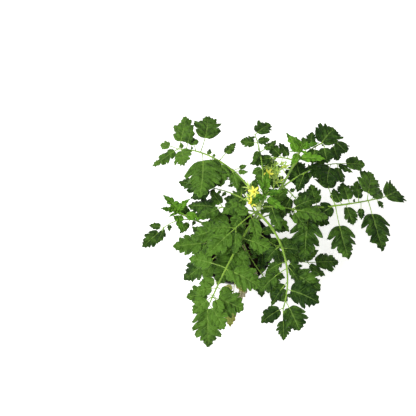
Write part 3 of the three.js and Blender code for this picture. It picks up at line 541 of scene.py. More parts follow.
def add_blade(piece, leaf, slot, form):
    """The blade: folded along the midrib, its rows of points slanting forward as its veins do."""
    size = leaf["blade"] * leaf["width"] * FULLNESS
    share = np.array([*(-np.array(COLUMNS[::-1])), 0, *COLUMNS])
    sides = []
    for side, half in ((-1, share[share < 0]), (1, share[share >= 0])):
        places, reaches, teeth, veins = edge_of(leaf["outline"], leaf["seed"] + side)
        least = np.maximum(STALK_HALF, size * reaches)
        sides.append(half * least[:, None] + side * size * teeth[:, None] * np.abs(half) ** RIM)
    reach = np.concatenate(sides, axis=1)
    along = np.broadcast_to(places[:, None], reach.shape)
    vein = np.interp(along, [0, *veins, 1], np.arange(len(veins) + 2))
    even = 0.5 * share + 0.5 * reach / (size * reaches.max())
    height = blade_height(form, leaf, along, even, vein)
    s = leaf["start"] + (1 - leaf["start"]) * along
    forward, left, up = leaf["line"].frame(s, leaf["roll"])
    slant, fold = math.radians(VEIN_SLANT), math.radians(leaf["fold"])
    out = np.maximum(0, np.abs(reach) - STALK_HALF)
    across = np.where(out > 0, np.sign(reach) * (STALK_HALF + out * math.cos(slant)), reach)
    foot = np.clip(1 - along / veins[0], 0, 1)
    sag = BASE_SAG * size * foot * np.sin(np.pi * np.minimum(1, out / (size * reaches.max())))
    middle = (
        leaf["line"].at(s)
        + forward * (out * math.sin(slant) - sag)[..., None]
        + left * (across * math.cos(fold))[..., None]
        + up * (np.abs(across) * math.sin(fold) + height)[..., None]
    )
    thick = up * (BLADE * (1 - RIM_THINS * np.abs(share)) / 2)[None, :, None]
    side = np.broadcast_to(share, vein.shape)
    add_sheet(piece, middle + thick, middle - thick, slot, tone=leaf["tone"], vein=vein, side=side)


MIDRIB = {
    "ends": 0.92,  # share of the blade that it runs along
    "sunk": 0.9,  # how deep it lies in the blade, of its radius
    "least": 0.45, "full": 90,  # its radius on the smallest blade, and how much longer one has 1 mm
}


def add_midrib(piece, leaf, slot):
    """A leaflet's stalk, running on as the midrib, a fine ridge above and a stout one below."""
    thick = min(1, MIDRIB["least"] + leaf["blade"] / MIDRIB["full"])
    foot = leaf["start"]
    end = foot + (1 - foot) * MIDRIB["ends"]
    stations = np.concatenate([np.linspace(0, foot, 4), np.linspace(foot, end, 9)[1:]])
    along = np.clip((stations - foot) / (1 - foot), 0, 1)
    radii = thick * (1.05 - 0.8 * along) * (1 + 0.5 * np.exp(-30 * stations))
    sunk = MIDRIB["sunk"] * thick * np.minimum(1, 5 * along)
    add_tube(piece, leaf["line"], stations, radii, 6, slot, drop=sunk, tone=leaf["tone"])


def add_leaflet(piece, leaf, form="leaf", blade_slot=0, stalk_slot=1):
    add_blade(piece, leaf, blade_slot, FORMS[form])
    add_midrib(piece, leaf, stalk_slot)


HAIR = {"length": (1.1, 2.4), "foot": 0.13, "each_mm": 1.6, "lean": (-0.3, 0.5)}


def add_hairs(piece, line, radius_at, start, end, slot, seed, **marks):
    """Short stiff hairs all round a stem or stalk, each a closed three-sided spike."""
    count = int((end - start) * line.length * HAIR["each_mm"])
    pull = np.random.default_rng(seed)
    s = pull.uniform(start, end, count)
    turn, lean = pull.uniform(0, 2 * np.pi, count), pull.uniform(*HAIR["lean"], count)
    length = pull.uniform(*HAIR["length"], count)
    forward, left, up = line.frame(s)
    out = left * np.cos(turn)[:, None] + up * np.sin(turn)[:, None]
    around = np.cross(forward, out)
    foot = line.at(s) + out * (0.9 * radius_at(s))[:, None]
    tip = foot + (out + forward * lean[:, None]) * length[:, None]
    corner = 2 * np.pi * np.arange(3) / 3
    ring = foot[:, None] + HAIR["foot"] * (
        forward[:, None] * np.cos(corner)[:, None] + around[:, None] * np.sin(corner)[:, None]
    )
    points = np.concatenate([ring, tip[:, None]], axis=1)
    first = 4 * np.arange(count)[:, None, None]
    spike = np.array([[0, 2, 1], [0, 1, 3], [1, 2, 3], [2, 0, 3]])
    piece.add(points, (first + spike).reshape(-1, 3), slot, **marks)


# ---------------------------------------------------------------- stems

FOOT = np.array([0, 0, SOIL["top"] - 7])
MAIN = Line(FOOT, 15, 77, -11, 30, 435)
STEMS = {
    "main": dict(line=MAIN, foot=6.5, top=2.6, tip_from=0.94),
    "right": dict(line=Line(MAIN.at(0.45), 31, 60, 9, 36, 300), foot=4.4, top=2.2, tip_from=0.88),
    "left": dict(line=Line(MAIN.at(0.15), 166, 50, 5, 11, 286), foot=4.2, top=2, tip_from=0.86),
}


def stem_radius(stem, s):
    return lerp((stem["foot"], stem["top"]), s)


def knots(stations, places, half):
    """1 where a leaf or leaflet stands on a stem, fading to 0 over a half width beside it."""
    return np.minimum(1, sum(np.exp(-(((stations - at) / half) ** 2)) for at in places))


# ---------------------------------------------------------------- leaves that match their solids


def solid_tree(node):
    """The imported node's corners, to look places up in, in millimetres."""
    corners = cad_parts[node].data.vertices
    tree = KDTree(len(corners))
    for i, corner in enumerate(corners):
        tree.insert(corner.co / MM, i)
    tree.balance()
    return tree


def miss(leaf, tree):
    """How far the tip of a leaf is from the nearest corner of its solid."""
    up = leaf["line"].frame(np.array(1.0), leaf["roll"])[2]
    tip = leaf["line"].at(1) + up * SOLID_BLADE / 2
    return tree.find(Vector(tip))[2]


def as_in_solid(make, tree):
    """The leaf at the lift that its solid has."""
    return min((make(lift) for lift in LIFTS), key=lambda leaf: miss(leaf, tree))


def leaflets_of(frond):
    """A leaf's own rows of leaflets, or else pairs of them, as in the thick of the plant."""
    if frond["name"] in LEAFLETS:
        return LEAFLETS[frond["name"]]
    rows = [(1, 0, frond["size"] * PAIRS["end_length"], 0, PAIRS["end_stalk"], "side")]
    for i in range(PAIRS["count"]):
        share = i / (PAIRS["count"] - 1)
        for side in (1, -1):
            seed = frond["seed"] + 10 * i + side
            at = lerp(PAIRS["place"], share) + VARY["place"] * swing(seed)
            length = frond["size"] * PAIRS["length"] * (1 + VARY["width"] * swing(seed + 3))
            rows.append((at, side, length, lerp(PAIRS["spread"], share), PAIRS["stalk"], "oval"))
    return rows


def blade_on(line, stalk, length, **form):
    """A leaflet that is all stalk from the start of its line, and blade for the last length."""
    return dict(line=line, blade=length, start=stalk / (stalk + length), **form)


TONE_SWING = 0.22  # how much lighter or darker one leaflet of a leaf is


def leaflet_of(frond, rachis, row, index, lift):
    """One leaflet of a leaf, tilted by lift out of its own pose."""
    at, side, length, spread, stalk, outline, *rest = row
    width = rest[0] if rest else 1
    seed = frond["seed"] * 7 + index * 13
    pitch = rachis.rise - rachis.droop * at
    turn = side * (spread + VARY["turn"] * swing(seed)) if side else spread
    slope = pitch if side else pitch * LEAFLET["end_slope"]
    rise = slope * math.cos(math.radians(turn)) + LEAFLET["perk"] + VARY["rise"] * swing(seed + 1)
    hang = LEAFLET["hang"] * (1 if side else LEAFLET["level"]) + VARY["hang"] * swing(seed + 2)
    line = Line(
        rachis.at(at),
        rachis.heading + rachis.sway * at + turn,
        max(-STEEPEST, min(STEEPEST, rise + lift)),
        hang,
        -side * LEAFLET["curl"] + VARY["curl"] * swing(seed + 4),
        stalk + length,
    )
    level = -pitch * math.sin(math.radians(turn)) * LEAFLET["level"]
    return blade_on(
        line, stalk, length, outline=outline, seed=seed,
        width=width * (1 + VARY["width"] * swing(seed + 5)),
        roll=level + VARY["roll"] * swing(seed + 6),
        fold=LEAFLET["fold"] + VARY["fold"] * swing(seed + 7),
        # The leaf's tone paints light and shade on its leaflets; the swing on it is random.
        tone=frond["tone"] + TONE_SWING * swing(seed + 8),
    )


RACHIS = {
    "thins": 0.55,  # share of its thickness that it loses on its way
    "flare": 0.9, "flare_ends": 12,  # how much stouter its foot is, and how soon that is gone
    "knot": 0.12, "knot_half": 5,  # the swelling at a leaflet, of its radius, and half its width
    "groove": 0.22, "hairs": (0.03, 0.98), "ring_every": 7,
}


def rachis_radius(frond, s):
    """A leaf's main stalk: stouter at its foot, then thinning."""
    flare = RACHIS["flare"] * np.exp(-RACHIS["flare_ends"] * s)
    return frond["thick"] * (1 - RACHIS["thins"] * s) + flare


BETWEEN = {"place": (0.25, 0.97), "room": 0.035, "length": (9, 20), "spread": 72, "stalk": 3, "every": 26}


def leaflets_between(frond, rows):
    """Tiny leaflets between the large ones, as tomato leaves have, where the rachis has room."""
    extra = []
    for i in range(int(frond["length"] / BETWEEN["every"])):
        seed = frond["seed"] * 3 + i * 29
        at, side = lerp(BETWEEN["place"], draw(seed)), 1 if draw(seed + 1) > 0.5 else -1
        taken = [row[0] for row in rows + extra if row[1] == side or row[1] == 0]
        if min(abs(at - place) for place in taken) > BETWEEN["room"]:
            length = lerp(BETWEEN["length"], draw(seed + 2))
            extra.append((at, side, length, BETWEEN["spread"], BETWEEN["stalk"], "small"))
    return extra


def make_frond(frond):
    stem, share = frond["on"]
    start, length, look = STEMS[stem]["line"].at(share), frond["length"], frond.get("look", "leaf")
    rachis = Line(start, frond["heading"], frond["rise"], frond["droop"], frond["sway"], length)
    piece = Piece()
    rows = leaflets_of(frond)
    tree = solid_tree(frond["name"])
    for index, row in enumerate(rows):
        leaf = as_in_solid(lambda lift: leaflet_of(frond, rachis, row, index, lift), tree)
        add_leaflet(piece, leaf, look)
    if look == "leaf":
        for index, row in enumerate(leaflets_between(frond, rows)):
            add_leaflet(piece, leaflet_of(frond, rachis, row, index + len(rows), 0), look)
    stations = np.linspace(0, 1, 3 + int(length / RACHIS["ring_every"]))
    swollen = knots(stations, [row[0] for row in rows], RACHIS["knot_half"] / length)
    radii = rachis_radius(frond, stations) * (1 + RACHIS["knot"] * swollen)
    add_tube(piece, rachis, stations, radii, 10, 1, groove=RACHIS["groove"], tone=frond["tone"])
    add_hairs(
        piece, rachis, partial(rachis_radius, frond), *RACHIS["hairs"], 1, frond["seed"], tone=1
    )
    blade, stalk, slot = LEAF_LOOKS[look]
    return piece.make(f"{frond['name']}.grown", [blade, stalk], frond["name"], slot)


# ---------------------------------------------------------------- shoot tips


def young_leaf_of(shoot, stem, index, lift):
    """One of the leaves that have opened at the top of a shoot."""
    share = index / (shoot["leaves"] - 1)
    line = stem["line"]
    lowest = stem["tip_from"] + YOUNG["above"] / line.length
    seed = shoot["seed"] + 17 * index
    length = shoot["length"] * lerp(YOUNG["length"], share) * (1 + VARY["width"] * swing(seed))
    young = Line(
        line.at(lerp((lowest, YOUNG["highest"]), share)),
        shoot["seed"] + LEAF_TURN * index + 2 * VARY["turn"] * swing(seed + 1),
        min(STEEPEST, lerp(YOUNG["rise"], share) + lift),
        YOUNG["hang"],
        2 * VARY["curl"] * swing(seed + 2),
        YOUNG["stalk"] + length,
    )
    return blade_on(
        young, YOUNG["stalk"], length, outline="young", seed=seed, width=YOUNG["width"],
        roll=VARY["roll"] * swing(seed + 3), fold=YOUNG["fold"],
        tone=YOUNG["tone"] + YOUNG["tone_swing"] * swing(seed + 4),
    )


UNOPENED = {
    "count": 14, "place": (0.95, 1), "stalk": 3, "length": (30, 10), "uneven": 0.25, "turn": 20,
    "rise": (40, 84), "hang": (60, -30), "curl": 30, "roll": 20, "width": 0.62, "fold": 34, "tone": 0.9,
}


def unopened_leaf_of(shoot, stem, index):
    """One of the tiny unopened leaves that crowd a shoot's very top."""
    share = index / (UNOPENED["count"] - 1)
    seed = shoot["seed"] + 11 * index + 500
    length = lerp(UNOPENED["length"], share) * (1 + UNOPENED["uneven"] * swing(seed))
    line = Line(
        stem["line"].at(lerp(UNOPENED["place"], share)),
        LEAF_TURN * index + 60 + UNOPENED["turn"] * swing(seed + 1),
        lerp(UNOPENED["rise"], share),
        lerp(UNOPENED["hang"], share),
        UNOPENED["curl"] * swing(seed + 2),
        UNOPENED["stalk"] + length,
    )
    return blade_on(
        line, UNOPENED["stalk"], length, outline="young", seed=seed, width=UNOPENED["width"],
        roll=UNOPENED["roll"] * swing(seed + 3), fold=UNOPENED["fold"], tone=UNOPENED["tone"],
    )


def make_shoot_tip(shoot):
    stem = STEMS[shoot["on"]]
    piece = Piece()
    tree = solid_tree(shoot["name"])
    for index in range(shoot["leaves"]):
        leaf = as_in_solid(lambda lift: young_leaf_of(shoot, stem, index, lift), tree)
        add_leaflet(piece, leaf, "young")
    for index in range(UNOPENED["count"]):
        add_leaflet(piece, unopened_leaf_of(shoot, stem, index), "young")
    stations = np.linspace(stem["tip_from"] - 0.004, 1, 12)
    radii = stem_radius(stem, stations) * np.minimum(1, 0.3 + 14 * (1.01 - stations))
    add_tube(piece, stem["line"], stations, radii, 12, 1, tone=0.8)
    return piece.make(f"{shoot['name']}.grown", [young_leaf, young_skin], shoot["name"], "young_leaf")


# ---------------------------------------------------------------- the stem

STEM_FORM = {
    "ring_every": 4,
    "knot": 0.13, "knot_half": 6,  # the swelling at a leaf, of the radius, and half its width
    "ripple": 0.03, "ripple_length": 9,  # slight unevenness along it, of the radius
}


def make_stem():
    piece = Piece()
    for name, stem in STEMS.items():
        length = stem["line"].length
        stations = np.linspace(0, stem["tip_from"], int(length / STEM_FORM["ring_every"]))
        places = [grown["on"][1] for grown in [*FRONDS, *TRUSSES] if grown["on"][0] == name]
        swollen = knots(stations, places, STEM_FORM["knot_half"] / length)
        radii = stem_radius(stem, stations) * (1 + STEM_FORM["knot"] * swollen)
        radii *= 1 + STEM_FORM["ripple"] * np.sin(stations * length / STEM_FORM["ripple_length"])
        add_tube(piece, stem["line"], stations, radii, 16, 0, tone=0.4)
        add_hairs(
            piece, stem["line"], partial(stem_radius, stem), 0.03, stem["tip_from"], 0, 3, tone=1
        )
    return piece.make("stem.grown", [stem_skin], "stem", "stem_skin")


# ---------------------------------------------------------------- trusses and flowers


def truss_stalk(truss):
    stem, share = truss["on"]
    start = STEMS[stem]["line"].at(share)
    return Line(start, truss["heading"], truss["rise"], truss["droop"], 0, truss["length"])


def seat_of(stalk, flower):
    """A flower's own stalk, and where the flower sits at its end: place, forward, left and up."""
    place, _, heading, rise, length = flower
    line = Line(stalk.at(place), heading, rise - FLOWER_STALK["lifts"], -FLOWER_STALK["lifts"], 0, length)
    return line, (line.at(1), *line.frame(np.array(1.0)))


def seat_point(seat, ahead, out, turn):
    """Points ahead of a seat and out from its line, at a turn about it. All may be arrays."""
    at, forward, left, up = seat
    turn = np.radians(turn)
    ahead, across, above = np.broadcast_arrays(ahead, out * np.cos(turn), out * np.sin(turn))
    return at + ahead[..., None] * forward + across[..., None] * left + above[..., None] * up


def add_turned(piece, seat, stations, slot, sides=16, flutes=0, depth=0.0, **marks):
    """A round body about a seat's line through (ahead, radius) stations, perhaps fluted."""
    ahead, radius = np.array(stations, float).T
    turn = 360 * np.arange(sides) / sides
    flute = 1 + depth * np.cos(np.radians(flutes * turn))
    ring = seat_point(seat, ahead[:, None], radius[:, None] * flute, turn[None])
    add_rings(piece, ring, slot, **marks)


PETAL_ROWS = 9
PETAL_TROUGH = 0.16  # how far a petal's margins stand up, of its half width


def add_petal(piece, seat, turn, root, length, width, lean, bend, slot, thick=0.5, **marks):
    """A pointed petal or sepal. root is (ahead, out), lean its first angle out of the seat's
    line's right-angled plane, and bend how much it turns back on its way."""
    rows = np.linspace(0, 1, PETAL_ROWS)
    angle = np.radians(lean - bend * rows)
    step = length / (PETAL_ROWS - 1)
    ahead = root[0] + step * np.concatenate([[0], np.cumsum(np.sin(angle[:-1]))])
    out = root[1] + step * np.concatenate([[0], np.cumsum(np.cos(angle[:-1]))])
    half = width / 2 * (0.62 + 0.9 * rows) * (1 - rows**2.2) ** 0.8 + 0.12
    across = np.array([-1, -0.5, 0, 0.5, 1])
    trough = PETAL_TROUGH * half[:, None] * across**2
    spine = seat_point(seat, ahead, out, turn)
    side = seat_point(seat, 0, 1, turn + 90) - seat[0]
    lift = seat_point(seat, np.cos(angle), -np.sin(angle), turn) - seat[0]
    out = side * (half[:, None] * across)[..., None]
    middle = spine[:, None] + out + lift[:, None] * trough[..., None]
    thickness = lift[:, None] * thick / 2
    add_sheet(piece, middle + thickness, middle - thickness, slot, side=across[None], **marks)


CALYX_TONE = 0.7
SEPAL = {"length": 13, "width": 2.8, "root": (0, 1), "turn": 8}
BUD = {
    "size": (1.1, 1.35), "length": 12,
    "sepal": 15, "sepal_width": 2.5, "sepal_root": 1.6, "lean": 66, "bend": 52,
    "body": [(0, 1), (0.15, 2.1), (0.35, 2.8), (0.6, 2.5), (0.8, 1.6), (1, 0.3)],
}
SMALL_BUD = {
    "place": (0.5, 1), "rise": (25, 75), "lifts": 25, "stalk": (8, 19), "radius": 0.6, "size": (0.5, 0.95),
}
FLOWER_STALK = {"lifts": 12, "radius": (0.75, 1), "knuckle": 0.45, "knuckle_at": 0.6, "knuckle_half": 0.06}
CALYX = {"bloom": (-6, 50), "fruit": (-2, 60)}  # how far its sepals lean, and bend back


def add_calyx(piece, seat, lean, bend, slot):
    """Five open sepals behind a flower or a fruit, on the thickened end of its stalk."""
    for k in range(5):
        turn = 72 * k + SEPAL["turn"] * swing(31 + k)
        root, length, width = SEPAL["root"], SEPAL["length"], SEPAL["width"]
        add_petal(piece, seat, turn, root, length, width, lean, bend, slot, tone=CALYX_TONE)
    cup = [(-4, 1.0), (-1.5, 1.5), (0.3, 2.1), (0.7, 1.2)]
    add_turned(piece, seat, cup, slot, tone=CALYX_TONE)


def add_bud(piece, seat, size, slot, petal_slot):
    """A closed flower: a pointed body between long narrow sepals whose tips part."""
    body = [(BUD["length"] * size * x, r * size) for x, r in BUD["body"]]
    add_turned(piece, seat, body, petal_slot, 12, 6, 0.06)
    for k in range(5):
        length = BUD["sepal"] * size * (1 + 0.15 * swing(k + 40 * size))
        root, width = (0.2, BUD["sepal_root"] * size), BUD["sepal_width"] * size
        add_petal(piece, seat, 72 * k, root, length, width, BUD["lean"], BUD["bend"], slot, tone=CALYX_TONE)
    cup = [(-3.5, 1.0), (-1.2, 1.4), (0.4, 2.0 * size), (0.9, 1.4)]
    add_turned(piece, seat, cup, slot, tone=CALYX_TONE)


def add_small_bud(piece, stalk, seed, slots):
    """One of the unopened buds that crowd a truss's end, on a thin stalk of its own."""
    line = Line(
        stalk.at(lerp(SMALL_BUD["place"], draw(seed + 3))), 360 * draw(seed),
        lerp(SMALL_BUD["rise"], draw(seed + 1)), -SMALL_BUD["lifts"], 0,
        lerp(SMALL_BUD["stalk"], draw(seed + 2)),
    )
    add_tube(piece, line, np.linspace(0, 1, 6), np.full(6, SMALL_BUD["radius"]), 8, slots[0], tone=0.8)
    seat = (line.at(1), *line.frame(np.array(1.0)))
    add_bud(piece, seat, lerp(SMALL_BUD["size"], draw(seed + 4)), *slots[1:])


def truss_radius(s):
    return TRUSS_RADIUS * (1.25 - 0.4 * s)


def make_truss(truss):
    piece = Piece()
    stalk = truss_stalk(truss)
    for index, flower in enumerate(truss["flowers"]):
        kind = flower[1]
        line, seat = seat_of(stalk, flower)
        stations = np.linspace(0, 1, 12)
        off_knuckle = (stations - FLOWER_STALK["knuckle_at"]) / FLOWER_STALK["knuckle_half"]
        knuckle = FLOWER_STALK["knuckle"] * np.exp(-(off_knuckle**2))
        radii = lerp(FLOWER_STALK["radius"], stations) + knuckle
        add_tube(piece, line, stations, radii, 8, 0, tone=CALYX_TONE)
        if kind == "bud":
            add_bud(piece, seat, lerp(BUD["size"], draw(index + 77)), 1, 2)
        else:
            add_calyx(piece, seat, *CALYX[kind], 1)
    for k in range(truss["small_buds"]):
        add_small_bud(piece, stalk, 13 * k + truss["small_buds"], (0, 1, 2))
    stations = np.linspace(0, 1, 16)
    add_tube(piece, stalk, stations, truss_radius(stations), 10, 0, tone=0.6)
    add_hairs(piece, stalk, truss_radius, 0.03, 1, 0, 5, tone=1)
    return piece.make(
        f"{truss['name']}.grown", [young_skin, sepal, bud_petal], truss["name"], "stem_skin"
    )


ANTHER_CONE = [(-0.3, 2.2), (1, 2.5), (3.5, 2.4), (6, 1.8), (8.5, 1.0), (9.4, 0.5)]  # ahead, radius
BLOOM = {"petals": 6, "length": 15.5, "uneven": 0.06, "width": 6.2, "lean": 16, "bend": 44, "thick": 0.45}
CALYX_TOP = 0.6  # how far a calyx's solid stands ahead of its seat
FLOWER_FOOT = CALYX_TOP + GAP + 0.6


def make_bloom(name, seat):
    """An open flower: six petals joined at their feet, turned back, round a cone of anthers."""
    piece = Piece()
    for k in range(BLOOM["petals"]):
        turn = 360 / BLOOM["petals"] * k + 5 * swing(51 + k)
        length = BLOOM["length"] * (1 + BLOOM["uneven"] * swing(61 + k))
        add_petal(
            piece, seat, turn, (FLOWER_FOOT, 0.8), length, BLOOM["width"], BLOOM["lean"],
            BLOOM["bend"], 0, thick=BLOOM["thick"],
        )
    cone = [(FLOWER_FOOT + ahead, radius) for ahead, radius in ANTHER_CONE]
    add_turned(piece, seat, cone, 1, 24, 6, 0.07)
    return piece.make(name + ".grown", [petal, anther], name, "petal")


def make_fruit(seat):
    """A small round fruit with five faint ribs."""
    piece = Piece()
    turn = np.linspace(0, np.pi, 18)[1:-1]
    middle = CALYX_TOP + GAP + FRUIT_RADIUS
    ball = [(middle - FRUIT_RADIUS * math.cos(a), FRUIT_RADIUS * math.sin(a)) for a in turn]
    add_turned(piece, seat, ball, 0, 32, 5, 0.015)
    return piece.make("young_fruit.grown", [fruit_skin], "young_fruit", "unripe_fruit")


# ---------------------------------------------------------------- pot and compost

POT_SIDES = 120


def pot_inside(z):
    """The pot's inner radius at a height below the band."""
    slope = (POT["rim_radius"] - POT["band_step"] - POT["base_radius"]) / (POT["height"] - POT["band"])
    return POT["base_radius"] - POT["wall"] + slope * z


def revolve(profile, sides):
    """Rings of a body of revolution about Z, through (radius, height) points."""
    radius, height = np.array(profile, float).T[:, :, None]
    turn = 2 * np.pi * np.arange(sides) / sides
    return np.stack([radius * np.cos(turn), radius * np.sin(turn), height + 0 * turn], axis=-1)


def make_pot():
    """The pot in one moulding, with its drain holes."""
    height, rim, base = POT["height"], POT["rim_radius"], POT["base_radius"]
    shoulder = height - POT["band"]
    band = rim - POT["lip"]
    inner = band - POT["wall"]
    # From the middle of the underside: a shallow channel, the rounded foot, a groove above it, the
    # band's shoulder, the rolled lip, and down the inside to the floor.
    profile = [
        (2, 0), (base - 12, 0), (base - 11.5, 0.8), (base - 7, 0.8), (base - 6.5, 0),
        (base - 2.4, 0), (base - 0.8, 0.6), (base, 2), (pot_inside(14) + POT["wall"], 14),
        (pot_inside(14.6) + POT["wall"] - 0.5, 14.6), (pot_inside(16.4) + POT["wall"] - 0.5, 16.4),
        (pot_inside(17) + POT["wall"], 17), (rim - POT["band_step"], shoulder),
        (band - 1.2, shoulder + 0.9), (band, shoulder + 2.6), (band, height - 8),
        (band + 0.5, height - 6.6), (rim - 0.4, height - 5.8), (rim, height - 4.6),
        (rim, height - 1.4), (rim - 0.5, height - 0.4), (rim - 1.5, height),
        (inner + 0.8, height), (inner, height - 0.8), (inner, shoulder + 4),
        (inner - 1.4, shoulder + 1.6), (pot_inside(shoulder - 1), shoulder - 1),
        (pot_inside(POT["floor"] + 2), POT["floor"] + 2), (pot_inside(POT["floor"]) - 2, POT["floor"]),
        (2, POT["floor"]),
    ]
    piece = Piece()
    add_rings(piece, revolve(profile, POT_SIDES), 0)
    made = piece.make("pot.moulded", [pot_plastic], "pot", "pot_plastic", sharp=40)
    drill = Piece()
    for k in range(DRAIN["count"]):
        turn = 2 * math.pi * (k + 0.5) / DRAIN["count"]
        hole = revolve([(DRAIN["radius"], -5), (DRAIN["radius"], 5)], 32)
        hole += DRAIN["circle"] * np.array([math.cos(turn), math.sin(turn), 0])
        add_rings(drill, hole, 0)
    cut(made, drill)
    return made


def cut(made, drill):
    """Takes the holes of a drill piece out of a made piece."""
    mesh = bpy.data.meshes.new("drill")
    mesh.from_pydata(np.concatenate(drill.points) * MM, [], drill.faces)
    cutter = bpy.data.objects.new("drill", mesh)
    bpy.context.scene.collection.objects.link(cutter)
    modifier = made.modifiers.new("drain_holes", "BOOLEAN")
    modifier.operation, modifier.solver, modifier.object = "DIFFERENCE", "EXACT", cutter
    bpy.context.view_layer.update()
    holed = bpy.data.meshes.new_from_object(made.evaluated_get(bpy.context.evaluated_depsgraph_get()))
    made.modifiers.remove(modifier)
    made.data = holed
    bpy.data.objects.remove(cutter)


def soil_height(x, y, radius):
    """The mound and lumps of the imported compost, with finer clods on top."""
    lumps = np.sin(0.11 * x + 1.3) * np.cos(0.13 * y) + np.sin(0.07 * (x + y) + 0.4)
    mound = SOIL["mound"] * (1 - np.hypot(x, y) / radius)
    clods = (
        1.1 * np.sin(0.61 * x + 0.37 * y) * np.sin(0.43 * x - 0.7 * y)
        + 0.7 * np.sin(1.3 * x + 2) * np.cos(1.21 * y)
        + 0.4 * np.sin(2.3 * x - 1.9 * y) * np.sin(1.9 * x + 2.2 * y)
    )
    return SOIL["top"] + mound + 0.5 * SOIL["lump"] * lumps + clods


def make_soil():
    """The compost: a plug with a flat foot, and a mounded top in rings from the wall inwards."""
    outer = pot_inside(SOIL["top"] - 4) - GAP
    foot = POT["floor"] + GAP
    turn = 2 * np.pi * np.arange(POT_SIDES) / POT_SIDES
    rings = [(1, foot), (pot_inside(foot) - GAP, foot), (outer, SOIL["top"] - 5)]
    for radius in np.linspace(outer, 1, SOIL["rings"]):
        rings.append((radius, soil_height(radius * np.cos(turn), radius * np.sin(turn), outer)))
    piece = Piece()
    across, along = np.cos(turn), np.sin(turn)
    ring = [np.stack([r * across, r * along, z + 0 * turn], axis=-1) for r, z in rings]
    add_rings(piece, np.stack(ring), 0)
    return piece.make("compost.fill", [compost], "soil", "compost")


CRUMBS = {"count": 1500, "size": (0.7, 2.6), "pale": 0.07, "off_stem": 9, "off_wall": 4}


def make_crumbs():
    """Bits of bark and peat on the compost, with a few pale grains of perlite."""
    rng = np.random.default_rng(12)
    outer = pot_inside(SOIL["top"] - 4) - CRUMBS["off_wall"]
    cube = np.array([(x, y, z) for x in (-1, 1) for y in (-1, 1) for z in (-1, 1)], float)
    faces = [(0, 1, 3, 2), (4, 6, 7, 5), (0, 4, 5, 1), (2, 3, 7, 6), (0, 2, 6, 4), (1, 5, 7, 3)]
    piece = Piece()
    for _ in range(CRUMBS["count"]):
        radius, turn = outer * math.sqrt(rng.random()), 2 * math.pi * rng.random()
        if radius < CRUMBS["off_stem"]:
            continue
        x, y = radius * math.cos(turn), radius * math.sin(turn)
        size = lerp(CRUMBS["size"], rng.random() ** 2)
        shape = cube * (1 + 0.35 * rng.standard_normal(cube.shape)) * size * rng.uniform(0.5, 1.2, 3)
        spin = rng.random() * math.pi
        c, d = math.cos(spin), math.sin(spin)
        shape = shape @ np.array([[c, d, 0], [-d, c, 0], [0, 0, 1]])
        pale = rng.random() < CRUMBS["pale"]
        place = np.array([x, y, soil_height(x, y, outer) + 0.2 * size])
        piece.add(shape + place, faces, 1 if pale else 0, tone=rng.random())
    return piece.make("compost.crumbs", [bark, perlite], "soil", "compost", sharp=20)


# ---------------------------------------------------------------- materials

SOFT = {"interpolation_type": "SMOOTHSTEP"}
COLOURS = {"data_type": "RGBA"}


def colour(hex_code):
    """An sRGB hex colour as linear red, green, blue and alpha."""
    parts = [int(hex_code[i : i + 2], 16) / 255 for i in (1, 3, 5)]
    return (*(p / 12.92 if p <= 0.04045 else ((p + 0.055) / 1.055) ** 2.4 for p in parts), 1)


def node(tree, kind, links=(), out=None, **settings):
    """Adds a shader node and returns its output of that name, or else the first in use. links
    gives inputs by name, or those in use in turn, a value or another node's output."""
    made = tree.nodes.new("ShaderNode" + kind)
    for name, value in settings.items():
        setattr(made, name, value)
    inputs = [socket for socket in made.inputs if socket.enabled]
    if isinstance(links, dict):
        inputs = [made.inputs[name] for name in links]
        links = links.values()
    for socket, value in zip(inputs, links):
        if isinstance(value, bpy.types.NodeSocket):
            tree.links.new(value, socket)
        else:
            socket.default_value = value
    return made.outputs[out] if out else next(socket for socket in made.outputs if socket.enabled)


def finish(name, build, *looks, **sockets):
    """A material on a Principled shader. build makes the inputs that vary, from its looks and a
    function that adds a node to the material."""
    made = bpy.data.materials.new(name)
    made.use_nodes = True
    shader = made.node_tree.nodes["Principled BSDF"]
    for key, value in sockets.items():
        shader.inputs[key.replace("_", " ")].default_value = value
    for key, value in build(partial(node, made.node_tree), *looks).items():
        made.node_tree.links.new(value, shader.inputs[key])
    return made


def per_mm(size):
    """The scale of a pattern that repeats every size millimetres, in metres' coordinates."""
    return 1 / (size * MM)


